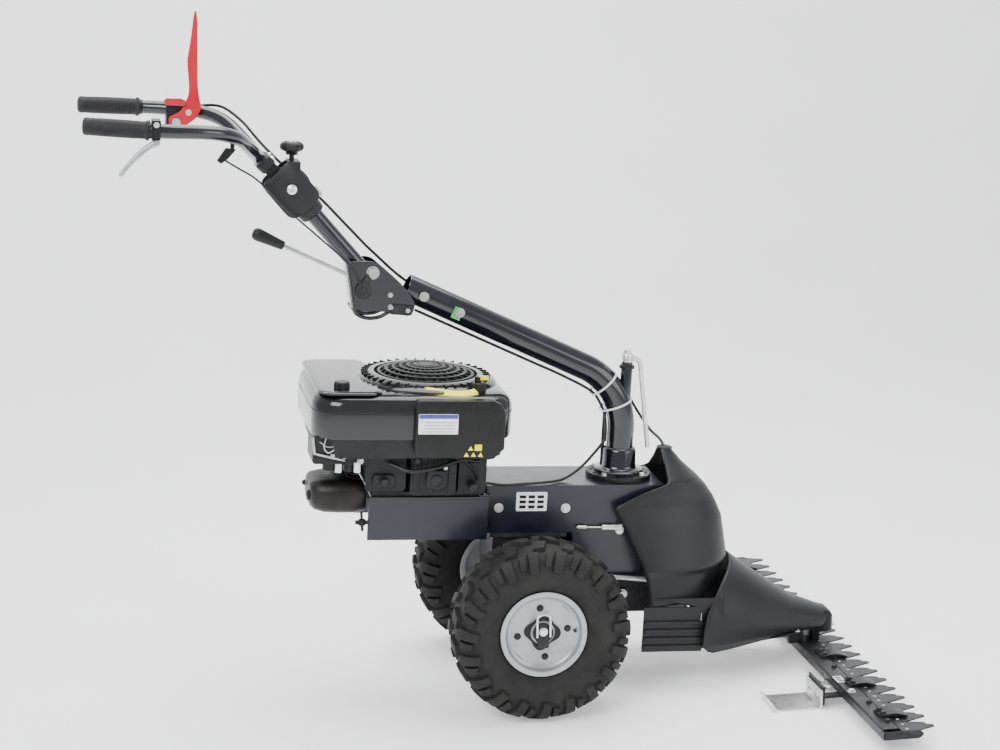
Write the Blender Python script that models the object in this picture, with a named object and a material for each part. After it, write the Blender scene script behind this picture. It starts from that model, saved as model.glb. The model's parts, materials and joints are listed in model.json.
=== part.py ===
"""Two-wheel walk-behind brush mower with a front cutter bar, as an assembly of separate pieces.

Units are metres, +X points forward to the cutter bar, +Y to the machine's left and +Z up.
Two frames are used. The level frame stands on the ground below the axle, and holds the wheels,
the cutter bar and its skids. The chassis frame has its origin on the axle and is pitched nose
down, and holds the frame, the engine, the steering column and the handlebar.
"""

import math

import bmesh
import bpy
from mathutils import Matrix, Vector

# ---------------------------------------------------------------- driving dimensions
GAP = 0.0003  # clearance between pieces that touch
CHASSIS_PITCH = math.radians(3.0)

# wheels and axle
TYRE_RADIUS = 0.1803
TYRE_HALF = 0.070
TRACK_HALF = 0.217
RIM_RADIUS = 0.0876
RIM_HALF = 0.0455
RIM_WALL = 0.003
BARREL_RADIUS = 0.0767
HUB_RADIUS = 0.024
HUB_HALF = 0.034
AXLE_RADIUS = 0.0125
LATCH_THICK = 0.009

# chassis: frame, deck and transmission
FRAME_HALF = 0.075
FRAME_TOP = 0.252
FRAME_BOTTOM = 0.153
FRAME_REAR = -0.090
FRAME_FRONT = 0.279
SHEET = 0.0035
NOSE_BOTTOM = 0.060
DECK_HALF = 0.100
DECK_TOP = 0.235
DECK_BOTTOM = 0.147
DECK_REAR = -0.333
CASE_HALF_X = 0.070
CASE_HALF_Y = 0.060
GEARBOX_REAR = 0.125
GEARBOX_FRONT = 0.270
SNOUT_RADIUS = 0.036
SNOUT_HEIGHT = 0.020
SNOUT_END = 0.355

# engine
ENGINE_X = -0.2124
ENGINE_LENGTH = 0.400
ENGINE_REAR = -0.455
SHROUD_HALF = 0.165
SHROUD_BOTTOM = 0.325
SHROUD_TOP = 0.455
SHROUD_WALL = 0.003
GRILLE_RADIUS = 0.1155
GRILLE_RISE = 0.0225
CRANK_RADIUS = 0.0125
FLANGE_REAR = 0.1226
FLANGE_FRONT = 0.1124
FLANGE_HALF = 0.095
CRANKCASE_RADIUS = 0.088
HEAD_SIDES = (0.038, 0.098)
FILTER_OUTLINE = ((-0.252, 0.330), (-0.105, 0.330), (-0.105, 0.436), (-0.112, 0.443), (-0.252, 0.443))
FILTER_DEPTH = 0.016
MUFFLER_LOW = (-0.452, -0.110)
MUFFLER_HIGH = (-0.337, 0.030)
MUFFLER_CORNER = 0.040
MUFFLER_RINGS = (  # inset, height
    (0.016, 0.195),
    (0.004, 0.203),
    (0.0, 0.222),
    (0.0, 0.258),
    (0.004, 0.277),
    (0.016, 0.285),
)

# belt drive
BELT_HEIGHT = 0.189
BELT_WIDTH = 0.0105
BELT_THICK = 0.008
ENGINE_GROOVE = 0.033
DRIVEN_GROOVE = 0.055
FLANGE_LIP = 0.009
DRIVEN_X = 0.055
IDLER_RADIUS = 0.017
IDLER_X = -0.130
IDLER_SLACK = 0.008
TENSIONER_X = -0.270
TENSIONER_Y = 0.078

# steering column
COLUMN_X = 0.200
COLUMN_RADIUS = 0.0275
COLUMN_WALL = 0.003
COLUMN_BEND = 0.140
COLUMN_CORNER_Z = 0.4451
COLUMN_SLOPE = math.radians(23.1)
COLUMN_REACH = 0.500
RING_RADIUS = 0.067
RING_THICK = 0.010
RING_HOLES = 12
RING_HOLE_CIRCLE = 0.056
RING_HOLE_RADIUS = 0.004
SPIGOT_RADIUS = 0.0297
COLLAR_RADIUS = 0.050
LOCK_X = 0.2045
LOCK_TOP = 0.492
LOCK_ROD_RADIUS = 0.005
LOCK_ROD_ROUTE = (
    (0, 0, 0.011),
    (0.0226, 0, 0.0038),
    (0.0282, 0, -0.008),
    (0.0315, 0, -0.028),
    (0.0545, 0, -0.1793),
)

# handle
HINGE_X = -0.4964
HINGE_Z = 0.8349
HANDLE_SLOPE = math.radians(47.57)
HANDLE_TUBE_RADIUS = 0.017
HANDLE_TUBE_WALL = 0.0025
HANDLE_TUBE_START = 0.052
HANDLE_TUBE_END = 0.272
BARREL_HINGE_RADIUS = 0.040
BARREL_HALF = 0.020
CHEEK_RADIUS = 0.045
CHEEK_OUT = 0.030
FORK_REACH = 0.056
FORK_TIP_RADIUS = 0.029
SOCKET_RADIUS = 0.027
SOCKET_END = 0.072
KNOB_PAD = (-0.007, 0.016, 0.020)  # rear, front and foot of the block below the knob
HINGE_BOLT_HEAD_RADIUS = 0.010
HINGE_BOLT_HALF = 0.037
KNOB_SEAT = 0.053
HINGE_BOLT_RADIUS = 0.006
NECK_ANGLE = math.radians(138.0)
HEAD_REACH = 0.080
ARM_RADIUS = 0.0135
ARM_WALL = 0.002
ARM_START_Y = 0.0215
ARM_ROUTE = (
    (-0.583, 0.075, 0.917),
    (-0.617, 0.140, 0.945),
    (-0.669, 0.182, 0.958),
    (-0.747, 0.2035, 0.9605),
)
ARM_END = (-0.890, 0.1835, 0.964)
GRIP_START = 0.034
GRIP_LENGTH = 0.121
GRIP_RADIUS = 0.0165
LEVER_Y = 0.1585

# control bracket and gear rod
BRACKET_INSIDE = 0.029
BRACKET_OUTLINE = (
    (-0.378, 0.695),
    (-0.351, 0.566),
    (-0.228, 0.576),
    (-0.230, 0.625),
    (-0.285, 0.660),
    (-0.330, 0.695),
)
GEAR_ROD_RADIUS = 0.005
GEAR_ROD_Y = -0.023

# cutter bar, in the level frame
BAR_PITCH = 0.0508
BAR_SECTIONS = 22
BEAM_REAR = 0.598
BEAM_FRONT = 0.655
BEAM_BOTTOM = 0.027
BEAM_THICK = 0.008
COMB_REAR = 0.612
COMB_TIP = 0.700
KNIFE_TIP = 0.7067
PLATE_THICK = 0.004
KNIFE_REAR = 0.634
CLAMP_PLACES = (0.13, 0.30, 0.47)
CLIP_HALF = 0.015
CLIP_FRONT = 0.669
CLIP_TOP = 0.0505
RAIL_TOP = 0.0466
POST_TOP = 0.060
SKID_Y = 0.265
SKID_WIDTH = 0.090
RISER_FACE = 0.5618
ROCKER_X = 0.560
ROCKER_REACH = 0.088
CARRIER_HALF = 0.034
CARRIER_REAR = 0.3600

CABLE_RADIUS = 0.003
THIN_CABLE_RADIUS = 0.002

BEAM_TOP = BEAM_BOTTOM + BEAM_THICK
COMB_BOTTOM = BEAM_TOP + GAP
COMB_TOP = COMB_BOTTOM + PLATE_THICK
KNIFE_BOTTOM = COMB_TOP + GAP
KNIFE_TOP = KNIFE_BOTTOM + PLATE_THICK
BAR_HALF = BAR_PITCH * BAR_SECTIONS / 2

# ---------------------------------------------------------------- scene and finishes
FINISHES = {
    "black_paint": ((0.012, 0.013, 0.018), 0.30, 0.4),
    "navy_paint": ((0.016, 0.018, 0.030), 0.35, 0.5),
    "black_plastic": ((0.020, 0.020, 0.022), 0.45, 0.0),
    "gloss_plastic": ((0.030, 0.030, 0.034), 0.15, 0.0),
    "rubber": ((0.018, 0.018, 0.018), 0.80, 0.0),
    "grey_rim": ((0.42, 0.43, 0.44), 0.40, 0.6),
    "zinc": ((0.70, 0.70, 0.68), 0.30, 1.0),
    "steel": ((0.50, 0.50, 0.50), 0.35, 1.0),
    "cast_aluminium": ((0.55, 0.56, 0.57), 0.45, 1.0),
    "cast_iron": ((0.10, 0.10, 0.11), 0.55, 0.8),
    "dark_steel": ((0.045, 0.045, 0.050), 0.45, 0.8),
    "red_paint": ((0.55, 0.010, 0.020), 0.30, 0.2),
}
PLACES = {}


def clear_scene():
    for thing in list(bpy.data.objects):
        bpy.data.objects.remove(thing, do_unlink=True)


def finish_material(name):
    found = bpy.data.materials.get(name)
    if found:
        return found
    colour, roughness, metallic = FINISHES[name]
    made = bpy.data.materials.new(name)
    made.use_nodes = True
    shader = made.node_tree.nodes["Principled BSDF"]
    shader.inputs["Base Color"].default_value = (*colour, 1.0)
    shader.inputs["Roughness"].default_value = roughness
    shader.inputs["Metallic"].default_value = metallic
    made.diffuse_color = (*colour, 1.0)
    return made


def holder(name, parent=None, at=(0.0, 0.0, 0.0), pitch=0.0, frame_origin=False):
    """An empty that carries pieces. Its place is given in the frame that the pieces use."""
    empty = bpy.data.objects.new(name, None)
    bpy.context.collection.objects.link(empty)
    start = PLACES[parent.name] if parent else Vector()
    empty.location = Vector(at) - start
    empty.rotation_euler = (0.0, pitch, 0.0)
    empty.parent = parent
    PLACES[name] = Vector() if frame_origin else Vector(at)
    return empty


def link_piece(name, data, finish, parent, at, turn=None):
    piece = bpy.data.objects.new(name, data)
    bpy.context.collection.objects.link(piece)
    piece.parent = parent
    piece.location = Vector(at) - PLACES[parent.name]
    if turn is not None:
        piece.rotation_mode = "QUATERNION"
        piece.rotation_quaternion = turn
    data.materials.append(finish_material(finish))
    return piece


def mesh_of(shape, name):
    bmesh.ops.recalc_face_normals(shape, faces=shape.faces)
    mesh = bpy.data.meshes.new(name)
    shape.to_mesh(mesh)
    shape.free()
    mesh.shade_smooth()
    mesh.set_sharp_from_angle(angle=math.radians(35))
    return mesh


def add(name, shape, finish, parent, at=(0.0, 0.0, 0.0), turn=None):
    """A visible piece. Its shape is relative to the place given, in the parent's frame."""
    return link_piece(name, mesh_of(shape, name), finish, parent, at, turn)


def boolean(piece, shape, operation, at=None, turn=None):
    """Cuts a shape from a piece, or joins it on. The helper stays in the scene, hidden."""
    label = f"{piece.name}_{operation.lower()}_{len(piece.modifiers)}"
    helper = bpy.data.objects.new(label, mesh_of(shape, label))
    bpy.context.collection.objects.link(helper)
    helper.parent = piece.parent
    if at is None:
        helper.location = piece.location
    else:
        helper.location = Vector(at) - PLACES[piece.parent.name]
    if turn is not None:
        helper.rotation_mode = "QUATERNION"
        helper.rotation_quaternion = turn
    helper.hide_render = True
    helper.display_type = "WIRE"
    modifier = piece.modifiers.new(label, "BOOLEAN")
    modifier.operation = operation
    modifier.object = helper
    modifier.solver = "EXACT"


def cut(piece, shape, at=None, turn=None):
    boolean(piece, shape, "DIFFERENCE", at, turn)


def join(piece, shape, at=None, turn=None):
    boolean(piece, shape, "UNION", at, turn)


# ---------------------------------------------------------------- shapes
def box(low, high):
    shape = bmesh.new()
    size = Vector(high) - Vector(low)
    centre = (Vector(high) + Vector(low)) / 2
    bmesh.ops.create_cube(shape, size=1.0, matrix=Matrix.Translation(centre) @ Matrix.Diagonal((*size, 1.0)))
    return shape


def loft(rings):
    """Skins closed rings of points, and caps both ends."""
    shape = bmesh.new()
    loops = [[shape.verts.new(point) for point in ring] for ring in rings]
    count = len(loops[0])
    for lower, upper in zip(loops, loops[1:]):
        for i in range(count):
            j = (i + 1) % count
            shape.faces.new((lower[i], lower[j], upper[j], upper[i]))
    shape.faces.new(reversed(loops[0]))
    shape.faces.new(loops[-1])
    return shape


def slab(outline, low, high, plane="XZ"):
    """A flat outline, drawn in a plane and extruded from low to high along the third axis."""

    def lift(a, b, c):
        return {"XZ": (a, c, b), "XY": (a, b, c), "YZ": (c, a, b)}[plane]

    return loft([[lift(a, b, level) for a, b in outline] for level in (low, high)])


def turned(profile, steps, axis="Z"):
    """Spins a closed profile of (radius, height) round an axis. Points on the axis are poles.

    A pole level with its neighbour makes a flat end, which is capped with one face.
    """
    shape = bmesh.new()
    order = {"Z": (0, 1, 2), "Y": (1, 2, 0), "X": (2, 0, 1)}[axis]
    rings = []
    for radius, height in profile:
        ring = []
        for i in range(steps if radius > 0 else 1):
            angle = 2 * math.pi * i / steps
            flat = (radius * math.cos(angle), radius * math.sin(angle), height)
            ring.append(shape.verts.new([flat[order[k]] for k in range(3)]))
        rings.append(ring)
    heights = [height for _, height in profile]
    flat_poles = []
    for i, (first, second) in enumerate(zip(rings, rings[1:] + rings[:1])):
        level = abs(heights[i] - heights[(i + 1) % len(heights)]) < 1e-9
        if level and (len(first) == 1) != (len(second) == 1):
            shape.faces.new(second if len(first) == 1 else first[::-1])
            flat_poles.append((first if len(first) == 1 else second)[0])
            continue
        for j in range(steps):
            corners = [first[j % len(first)], first[(j + 1) % len(first)]]
            corners += [second[(j + 1) % len(second)], second[j % len(second)]]
            unique = list(dict.fromkeys(corners))
            if len(unique) > 2:
                shape.faces.new(unique)
    for pole in flat_poles:
        shape.verts.remove(pole)
    return shape


def rod(radius, low, high, steps=16, axis="Z"):
    return turned([(0, low), (radius, low), (radius, high), (0, high)], steps, axis)


def clear_of(radius, steps):
    """The radius whose polygon stays a clearance outside a circle."""
    return (radius + GAP) / math.cos(math.pi / steps)


def sweep(path, radius, sides=14, bore=None):
    """A round bar along a path of points, or a tube where a bore radius is given."""
    points = [Vector(point) for point in path]
    tangents = []
    for i, point in enumerate(points):
        before = points[max(i - 1, 0)]
        after = points[min(i + 1, len(points) - 1)]
        tangents.append((after - before).normalized())
    side = tangents[0].orthogonal().normalized()
    outer, inner = [], []
    for point, tangent in zip(points, tangents):
        side = (side - tangent * side.dot(tangent)).normalized()
        up = tangent.cross(side)
        spokes = [
            side * math.cos(2 * math.pi * k / sides) + up * math.sin(2 * math.pi * k / sides)
            for k in range(sides)
        ]
        outer.append([point + spoke * radius for spoke in spokes])
        inner.append([point + spoke * (bore or 0) for spoke in spokes])
    if bore is None:
        return loft(outer)
    shape = bmesh.new()
    loops = [[shape.verts.new(point) for point in ring] for ring in outer + inner[::-1]]
    for first, second in zip(loops, loops[1:] + loops[:1]):
        for i in range(sides):
            j = (i + 1) % sides
            shape.faces.new((first[i], first[j], second[j], second[i]))
    return shape


def smooth_route(points, per_span=6):
    """Points along a Catmull-Rom curve through the route's own points."""
    knots = [Vector(point) for point in points]
    knots = [2 * knots[0] - knots[1]] + knots + [2 * knots[-1] - knots[-2]]
    route = []
    for a, b, c, d in zip(knots, knots[1:], knots[2:], knots[3:]):
        for step in range(per_span):
            t = step / per_span
            route.append(
                0.5
                * (
                    2 * b
                    + (c - a) * t
                    + (2 * a - 5 * b + 4 * c - d) * t**2
                    + (3 * b - a - 3 * c + d) * t**3
                )
            )
    route.append(knots[-2])
    return route


def evenly(points, spacing):
    """The same route with points a fixed distance apart."""
    lengths = [(b - a).length for a, b in zip(points, points[1:])]
    count = max(4, round(sum(lengths) / spacing))
    wanted = sum(lengths) / count
    route, walked, span = [points[0]], 0.0, 0
    for k in range(1, count):
        target = k * wanted
        while walked + lengths[span] < target:
            walked += lengths[span]
            span += 1
        route.append(points[span].lerp(points[span + 1], (target - walked) / lengths[span]))
    return route + [points[-1]]


def cable(name, points, parent, radius=CABLE_RADIUS):
    """A clipped cable: one smooth round strand through the points of its route."""
    route = evenly(smooth_route(points, 10), 6 * radius)
    data = bpy.data.curves.new(name, "CURVE")
    data.dimensions = "3D"
    data.bevel_depth = radius
    data.bevel_resolution = 2
    data.use_fill_caps = True
    strand = data.splines.new("POLY")
    strand.points.add(len(route) - 1)
    place = PLACES[parent.name]
    for knot, point in zip(strand.points, route):
        knot.co = (*(point - place), 1.0)
    return link_piece(name, data, "rubber", parent, place)


def ring_outline(first, first_radius, second, second_radius, steps=10):
    """A tight loop round two circles, as a belt lies round two pulleys."""
    span = Vector(second) - Vector(first)
    heading = math.atan2(span.y, span.x)
    lean = math.acos((first_radius - second_radius) / span.length)
    outline = []
    for centre, radius, start, end in (
        (first, first_radius, heading + lean, heading + 2 * math.pi - lean),
        (second, second_radius, heading - lean, heading + lean),
    ):
        for i in range(steps + 1):
            angle = start + (end - start) * i / steps
            outline.append((centre[0] + radius * math.cos(angle), centre[1] + radius * math.sin(angle)))
    return outline


def rounded_rectangle(low, high, radius, steps=4):
    corners = (
        (high[0] - radius, high[1] - radius, 0),
        (low[0] + radius, high[1] - radius, 90),
        (low[0] + radius, low[1] + radius, 180),
        (high[0] - radius, low[1] + radius, 270),
    )
    outline = []
    for x, y, start in corners:
        for i in range(steps + 1):
            angle = math.radians(start + 90 * i / steps)
            outline.append((x + radius * math.cos(angle), y + radius * math.sin(angle)))
    return outline


def along(start, direction, distance):
    return Vector(start) + Vector(direction) * distance


# ---------------------------------------------------------------- wheels
def tyre_profile():
    bead = BARREL_RADIUS + GAP
    seat = RIM_HALF - RIM_WALL - GAP
    heel = RIM_RADIUS + 0.0006
    wall = 0.009
    outer = [(heel, seat), (0.105, 0.062), (0.140, TYRE_HALF), (0.168, 0.062), (TYRE_RADIUS, 0.044)]
    inner = [(heel, seat - wall), (0.106, 0.052), (0.140, TYRE_HALF - wall), (0.163, 0.053)]
    inner.append((TYRE_RADIUS - 0.0103, 0.040))
    half = [(bead, seat)] + outer
    back = [(radius, -y) for radius, y in reversed(half)]
    inside = [(bead, -(seat - wall))] + [(radius, -y) for radius, y in inner]
    return half + back + inside + [(radius, -y) for radius, y in reversed(inside)]


def rim_profile(side):
    edge = RIM_HALF
    lip = RIM_HALF - RIM_WALL
    inside = BARREL_RADIUS - RIM_WALL
    bore = AXLE_RADIUS + GAP
    points = [
        (bore, -0.030),
        (HUB_RADIUS, -0.030),
        (HUB_RADIUS, 0.024),
        (0.060, 0.024),
        (inside, 0.010),
        (inside, -edge),
        (RIM_RADIUS, -edge),
        (RIM_RADIUS, -lip),
        (BARREL_RADIUS, -lip),
        (BARREL_RADIUS, lip),
        (RIM_RADIUS, lip),
        (RIM_RADIUS, edge),
        (inside, edge),
        (0.070, 0.034),
        (0.060, 0.0285),
        (HUB_RADIUS, 0.0285),
        (HUB_RADIUS, HUB_HALF),
        (bore, HUB_HALF),
    ]
    return [(radius, side * y) for radius, y in points]


def latch_shape(side):
    """A round boss, joined to a U-shaped bail that stands up from it."""
    near = side * (HUB_HALF + 0.0005)
    far = side * (HUB_HALF + 0.0005 + LATCH_THICK)
    boss = turned([(0, near), (0.021, near), (0.021, far), (0, far)], 18, "Y")
    outer = [(0.016, 0.000), (0.016, 0.034), (0.009, 0.043), (-0.009, 0.043), (-0.016, 0.034), (-0.016, 0.0)]
    inner = [(-0.010, 0.0), (-0.010, 0.031), (-0.006, 0.037), (0.006, 0.037), (0.010, 0.031), (0.010, 0.0)]
    bail_low = side * (HUB_HALF + 0.0005 + LATCH_THICK - 0.003)
    bail_high = side * (HUB_HALF + 0.0005 + LATCH_THICK + 0.002)
    return boss, slab(outer + inner, min(bail_low, bail_high), max(bail_low, bail_high))


def build_wheel(level, label, side):
    centre = (0.0, side * TRACK_HALF, TYRE_RADIUS)
    spin = holder(f"{label}_wheel_axis", level, centre)
    add(f"tyre_{label}", turned(tyre_profile(), 28, "Y"), "rubber", spin, centre)
    add(f"wheel_{label}", turned(rim_profile(side), 28, "Y"), "grey_rim", spin, centre)
    boss, bail = latch_shape(side)
    latch = add(f"hub_latch_{label}", boss, "zinc", spin, centre)
    join(latch, bail)


# ---------------------------------------------------------------- chassis
def build_transmission(chassis):
    reach = TRACK_HALF + HUB_HALF - 0.001
    add("axle_shaft", rod(AXLE_RADIUS, -reach, reach, 20, "Y"),
        "steel", chassis)
    shape = box((-CASE_HALF_X, -CASE_HALF_Y, -0.055), (CASE_HALF_X, CASE_HALF_Y, 0.148))
    case = add("transmission_case", shape, "cast_iron", chassis)
    join(case, box((-0.080, -FRAME_HALF, 0.144), (0.080, FRAME_HALF, FRAME_BOTTOM - GAP)))
    join(case, rod(0.026, -0.165, 0.165, 20, "Y"))
    cut(case, rod(AXLE_RADIUS + GAP, -0.20, 0.20, 20, "Y"))
    cut(case, rod(0.010 + GAP, 0.125, 0.170, 16), at=(DRIVEN_X, 0, 0))


def build_frame(chassis):
    outer = [
        (FRAME_REAR, FRAME_TOP),
        (FRAME_FRONT, FRAME_TOP),
        (FRAME_FRONT, 0.150),
        (FRAME_FRONT - 0.044, NOSE_BOTTOM),
        (GEARBOX_REAR - 0.010, NOSE_BOTTOM),
        (0.090, FRAME_BOTTOM),
        (FRAME_REAR, FRAME_BOTTOM),
    ]
    frame = add("frame_shell", slab(outer, -FRAME_HALF, FRAME_HALF), "navy_paint", chassis)
    front = FRAME_FRONT - SHEET
    inside = FRAME_HALF - SHEET
    hollow = box((FRAME_REAR - 0.01, -inside, 0.0), (front, inside, FRAME_TOP - SHEET))
    cut(frame, hollow)

    inner_half = DECK_HALF - SHEET
    inner_top = DECK_TOP - SHEET
    section = [
        (-DECK_HALF, DECK_BOTTOM),
        (-inner_half, DECK_BOTTOM),
        (-inner_half, inner_top),
        (inner_half, inner_top),
        (inner_half, DECK_BOTTOM),
        (DECK_HALF, DECK_BOTTOM),
        (DECK_HALF, DECK_TOP),
        (-DECK_HALF, DECK_TOP),
    ]
    deck = add("engine_deck", slab(section, DECK_REAR, FRAME_REAR - 0.0005, "YZ"), "navy_paint", chassis)
    cut(deck, rod(0.020, 0.20, 0.26, 20), at=(ENGINE_X, 0, 0))


def build_gearbox(chassis):
    half = FRAME_HALF - SHEET - 0.0035
    shape = box((GEARBOX_REAR, -half, -0.020), (GEARBOX_FRONT, half, 0.200))
    gearbox = add("front_gearbox", shape, "cast_iron", chassis)
    join(gearbox, rod(SNOUT_RADIUS, GEARBOX_FRONT - 0.01, SNOUT_END, 24, "X"), at=(0, 0, SNOUT_HEIGHT))


# ---------------------------------------------------------------- belt drive
def pulley_profile(groove, bottom, top, shaft, shaft_low, shaft_high):
    lip = groove + FLANGE_LIP
    low = BELT_HEIGHT - BELT_WIDTH / 2 - 0.0007
    high = BELT_HEIGHT + BELT_WIDTH / 2 + 0.0007
    return [
        (0, shaft_low),
        (shaft, shaft_low),
        (shaft, bottom),
        (lip, bottom),
        (lip, low),
        (groove, low),
        (groove, high),
        (lip, high),
        (lip, top),
        (shaft, top),
        (shaft, shaft_high),
        (0, shaft_high),
    ]


def build_belt_drive(chassis):
    engine_axis = holder("engine_axis", chassis, (ENGINE_X, 0, BELT_HEIGHT))
    profile = pulley_profile(ENGINE_GROOVE, 0.176, 0.202, CRANK_RADIUS, 0.168, 0.345)
    add("crankshaft_pulley", turned(profile, 20), "steel", engine_axis, (ENGINE_X, 0, 0))

    driven_axis = holder("driven_axis", chassis, (DRIVEN_X, 0, BELT_HEIGHT))
    profile = pulley_profile(DRIVEN_GROOVE, 0.176, 0.202, 0.010, 0.135, 0.207)
    add("driven_pulley", turned(profile, 20), "steel", driven_axis, (DRIVEN_X, 0, 0))

    low = BELT_HEIGHT - BELT_WIDTH / 2
    high = BELT_HEIGHT + BELT_WIDTH / 2
    ends = ((ENGINE_X, 0.0), (DRIVEN_X, 0.0))
    small, large = ENGINE_GROOVE + 0.0005, DRIVEN_GROOVE + 0.0005
    outer = ring_outline(ends[0], small + BELT_THICK, ends[1], large + BELT_THICK, 12)
    inner = ring_outline(ends[0], small + 0.0008, ends[1], large + 0.0008, 12)
    belt = add("drive_belt", slab(outer, low, high, "XY"), "rubber", chassis)
    cut(belt, slab(inner, low - 0.01, high + 0.01, "XY"))

    fraction = (IDLER_X - ENGINE_X) / (DRIVEN_X - ENGINE_X)
    belt_side = small + BELT_THICK + fraction * (large - small)
    idler_y = belt_side + IDLER_RADIUS + IDLER_SLACK
    pivot = (TENSIONER_X, TENSIONER_Y, 0.206)
    arm_axis = holder("tensioner_axis", chassis, pivot)
    outline = ring_outline((0, 0), 0.011, (IDLER_X - TENSIONER_X, idler_y - TENSIONER_Y), 0.011, 5)
    arm = add("tensioner_arm", slab(outline, -0.002, 0.002, "XY"), "steel", arm_axis, pivot)
    join(arm, rod(0.006, -0.001, DECK_TOP - SHEET - GAP - pivot[2], 12))
    join(arm, rod(IDLER_RADIUS, -0.026, -0.001, 18), at=(IDLER_X, idler_y, pivot[2]))


# ---------------------------------------------------------------- engine
def inset_outline(inset, radius=0.050):
    low = (ENGINE_REAR + inset, -SHROUD_HALF + inset)
    high = (ENGINE_REAR + ENGINE_LENGTH - inset, SHROUD_HALF - inset)
    return rounded_rectangle(low, high, radius - inset)


def shroud_ring(inset, height):
    return [(x, y, height) for x, y in inset_outline(inset)]


def build_engine(chassis):
    base = DECK_TOP + GAP
    low = (ENGINE_X - FLANGE_REAR, -FLANGE_HALF, base)
    flange = box(low, (ENGINE_X + FLANGE_FRONT, FLANGE_HALF, base + 0.010))
    crankcase = add("crankcase", flange, "cast_aluminium", chassis)
    body = rod(CRANKCASE_RADIUS, base + 0.005, SHROUD_BOTTOM - 0.005, 24)
    join(crankcase, body, at=(ENGINE_X, 0, 0))
    low = (ENGINE_X - 0.170, HEAD_SIDES[0], base + 0.016)
    join(crankcase, box(low, (ENGINE_X - 0.010, HEAD_SIDES[1], SHROUD_BOTTOM - 0.010)))
    cut(crankcase, rod(CRANK_RADIUS + GAP, base - 0.01, SHROUD_BOTTOM + 0.01, 24), at=(ENGINE_X, 0, 0))

    rings = [(0.004, SHROUD_BOTTOM), (0.0, SHROUD_BOTTOM + 0.006), (0.0, SHROUD_TOP - 0.014)]
    rings += [(0.004, SHROUD_TOP - 0.005), (0.012, SHROUD_TOP)]
    outer = loft([shroud_ring(inset, height) for inset, height in rings])
    shroud = add("engine_shroud", outer, "black_plastic", chassis)
    wall = SHROUD_WALL
    hollow = [(0.004 + wall, SHROUD_BOTTOM - 0.01), (wall, SHROUD_BOTTOM + 0.006)]
    hollow += [(wall, SHROUD_TOP - 0.016), (0.012, SHROUD_TOP - 0.004)]
    cut(shroud, loft([shroud_ring(inset, height) for inset, height in hollow]))
    cut(shroud, rod(GRILLE_RADIUS - 0.012, SHROUD_TOP - 0.02, SHROUD_TOP + 0.02, 28), at=(ENGINE_X, 0, 0))

    low = SHROUD_TOP + GAP
    rim = GRILLE_RADIUS
    profile = [
        (0, low + GRILLE_RISE),
        (0.050, low + GRILLE_RISE - 0.0025),
        (0.090, low + GRILLE_RISE - 0.0105),
        (rim, low + 0.003),
        (rim, low),
        (rim - 0.007, low),
        (0.088, low + GRILLE_RISE - 0.0165),
        (0.050, low + GRILLE_RISE - 0.0065),
        (0, low + GRILLE_RISE - 0.004),
    ]
    add("cooling_grille", turned(profile, 24), "black_plastic", chassis, (ENGINE_X, 0, 0))

    face = -SHROUD_HALF - GAP
    add("air_filter_cover", slab(FILTER_OUTLINE, face - FILTER_DEPTH, face), "black_plastic", chassis)

    (rear, right), (front, left) = MUFFLER_LOW, MUFFLER_HIGH
    body = []
    for inset, height in MUFFLER_RINGS:
        low, high = (rear + inset, right + inset), (front - inset, left - inset)
        outline = rounded_rectangle(low, high, MUFFLER_CORNER - inset)
        body.append([(x, y, height) for x, y in outline])
    add("muffler", loft(body), "dark_steel", chassis)

    spot = (-0.396, -0.110, SHROUD_TOP + GAP)
    cap_axis = holder("fuel_cap_axis", chassis, spot)
    profile = [(0, 0), (0.016, 0), (0.016, 0.013), (0.013, 0.017), (0, 0.018)]
    add("fuel_cap", turned(profile, 18), "black_plastic", cap_axis, spot)


# ---------------------------------------------------------------- steering column
def column_path():
    """Up from the collar, round the bend, and back along the slope."""
    turn = math.pi / 2 - COLUMN_SLOPE
    tangent = COLUMN_BEND * math.tan(turn / 2)
    bottom = FRAME_TOP + 0.001
    points = [(COLUMN_X, 0, bottom)]
    centre = (COLUMN_X - COLUMN_BEND, COLUMN_CORNER_Z - tangent)
    steps = 8
    for i in range(steps + 1):
        angle = turn * i / steps
        x = centre[0] + COLUMN_BEND * math.cos(angle)
        points.append((x, 0, centre[1] + COLUMN_BEND * math.sin(angle)))
    points.append(column_point(COLUMN_REACH))
    return points


def column_point(distance, below=0.0):
    """A point on the sloping part, measured from the corner of the bend."""
    x = COLUMN_X - distance * math.cos(COLUMN_SLOPE) - below * math.sin(COLUMN_SLOPE)
    z = COLUMN_CORNER_Z + distance * math.sin(COLUMN_SLOPE) - below * math.cos(COLUMN_SLOPE)
    return (x, 0, z)


def ring_holes():
    shape = bmesh.new()
    for i in range(RING_HOLES):
        angle = 2 * math.pi * (i + 0.5) / RING_HOLES
        place = (RING_HOLE_CIRCLE * math.cos(angle), RING_HOLE_CIRCLE * math.sin(angle), FRAME_TOP)
        bmesh.ops.create_cone(shape, cap_ends=True, segments=8, radius1=RING_HOLE_RADIUS,
                              radius2=RING_HOLE_RADIUS, depth=0.04, matrix=Matrix.Translation(place))
    return shape


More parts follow.
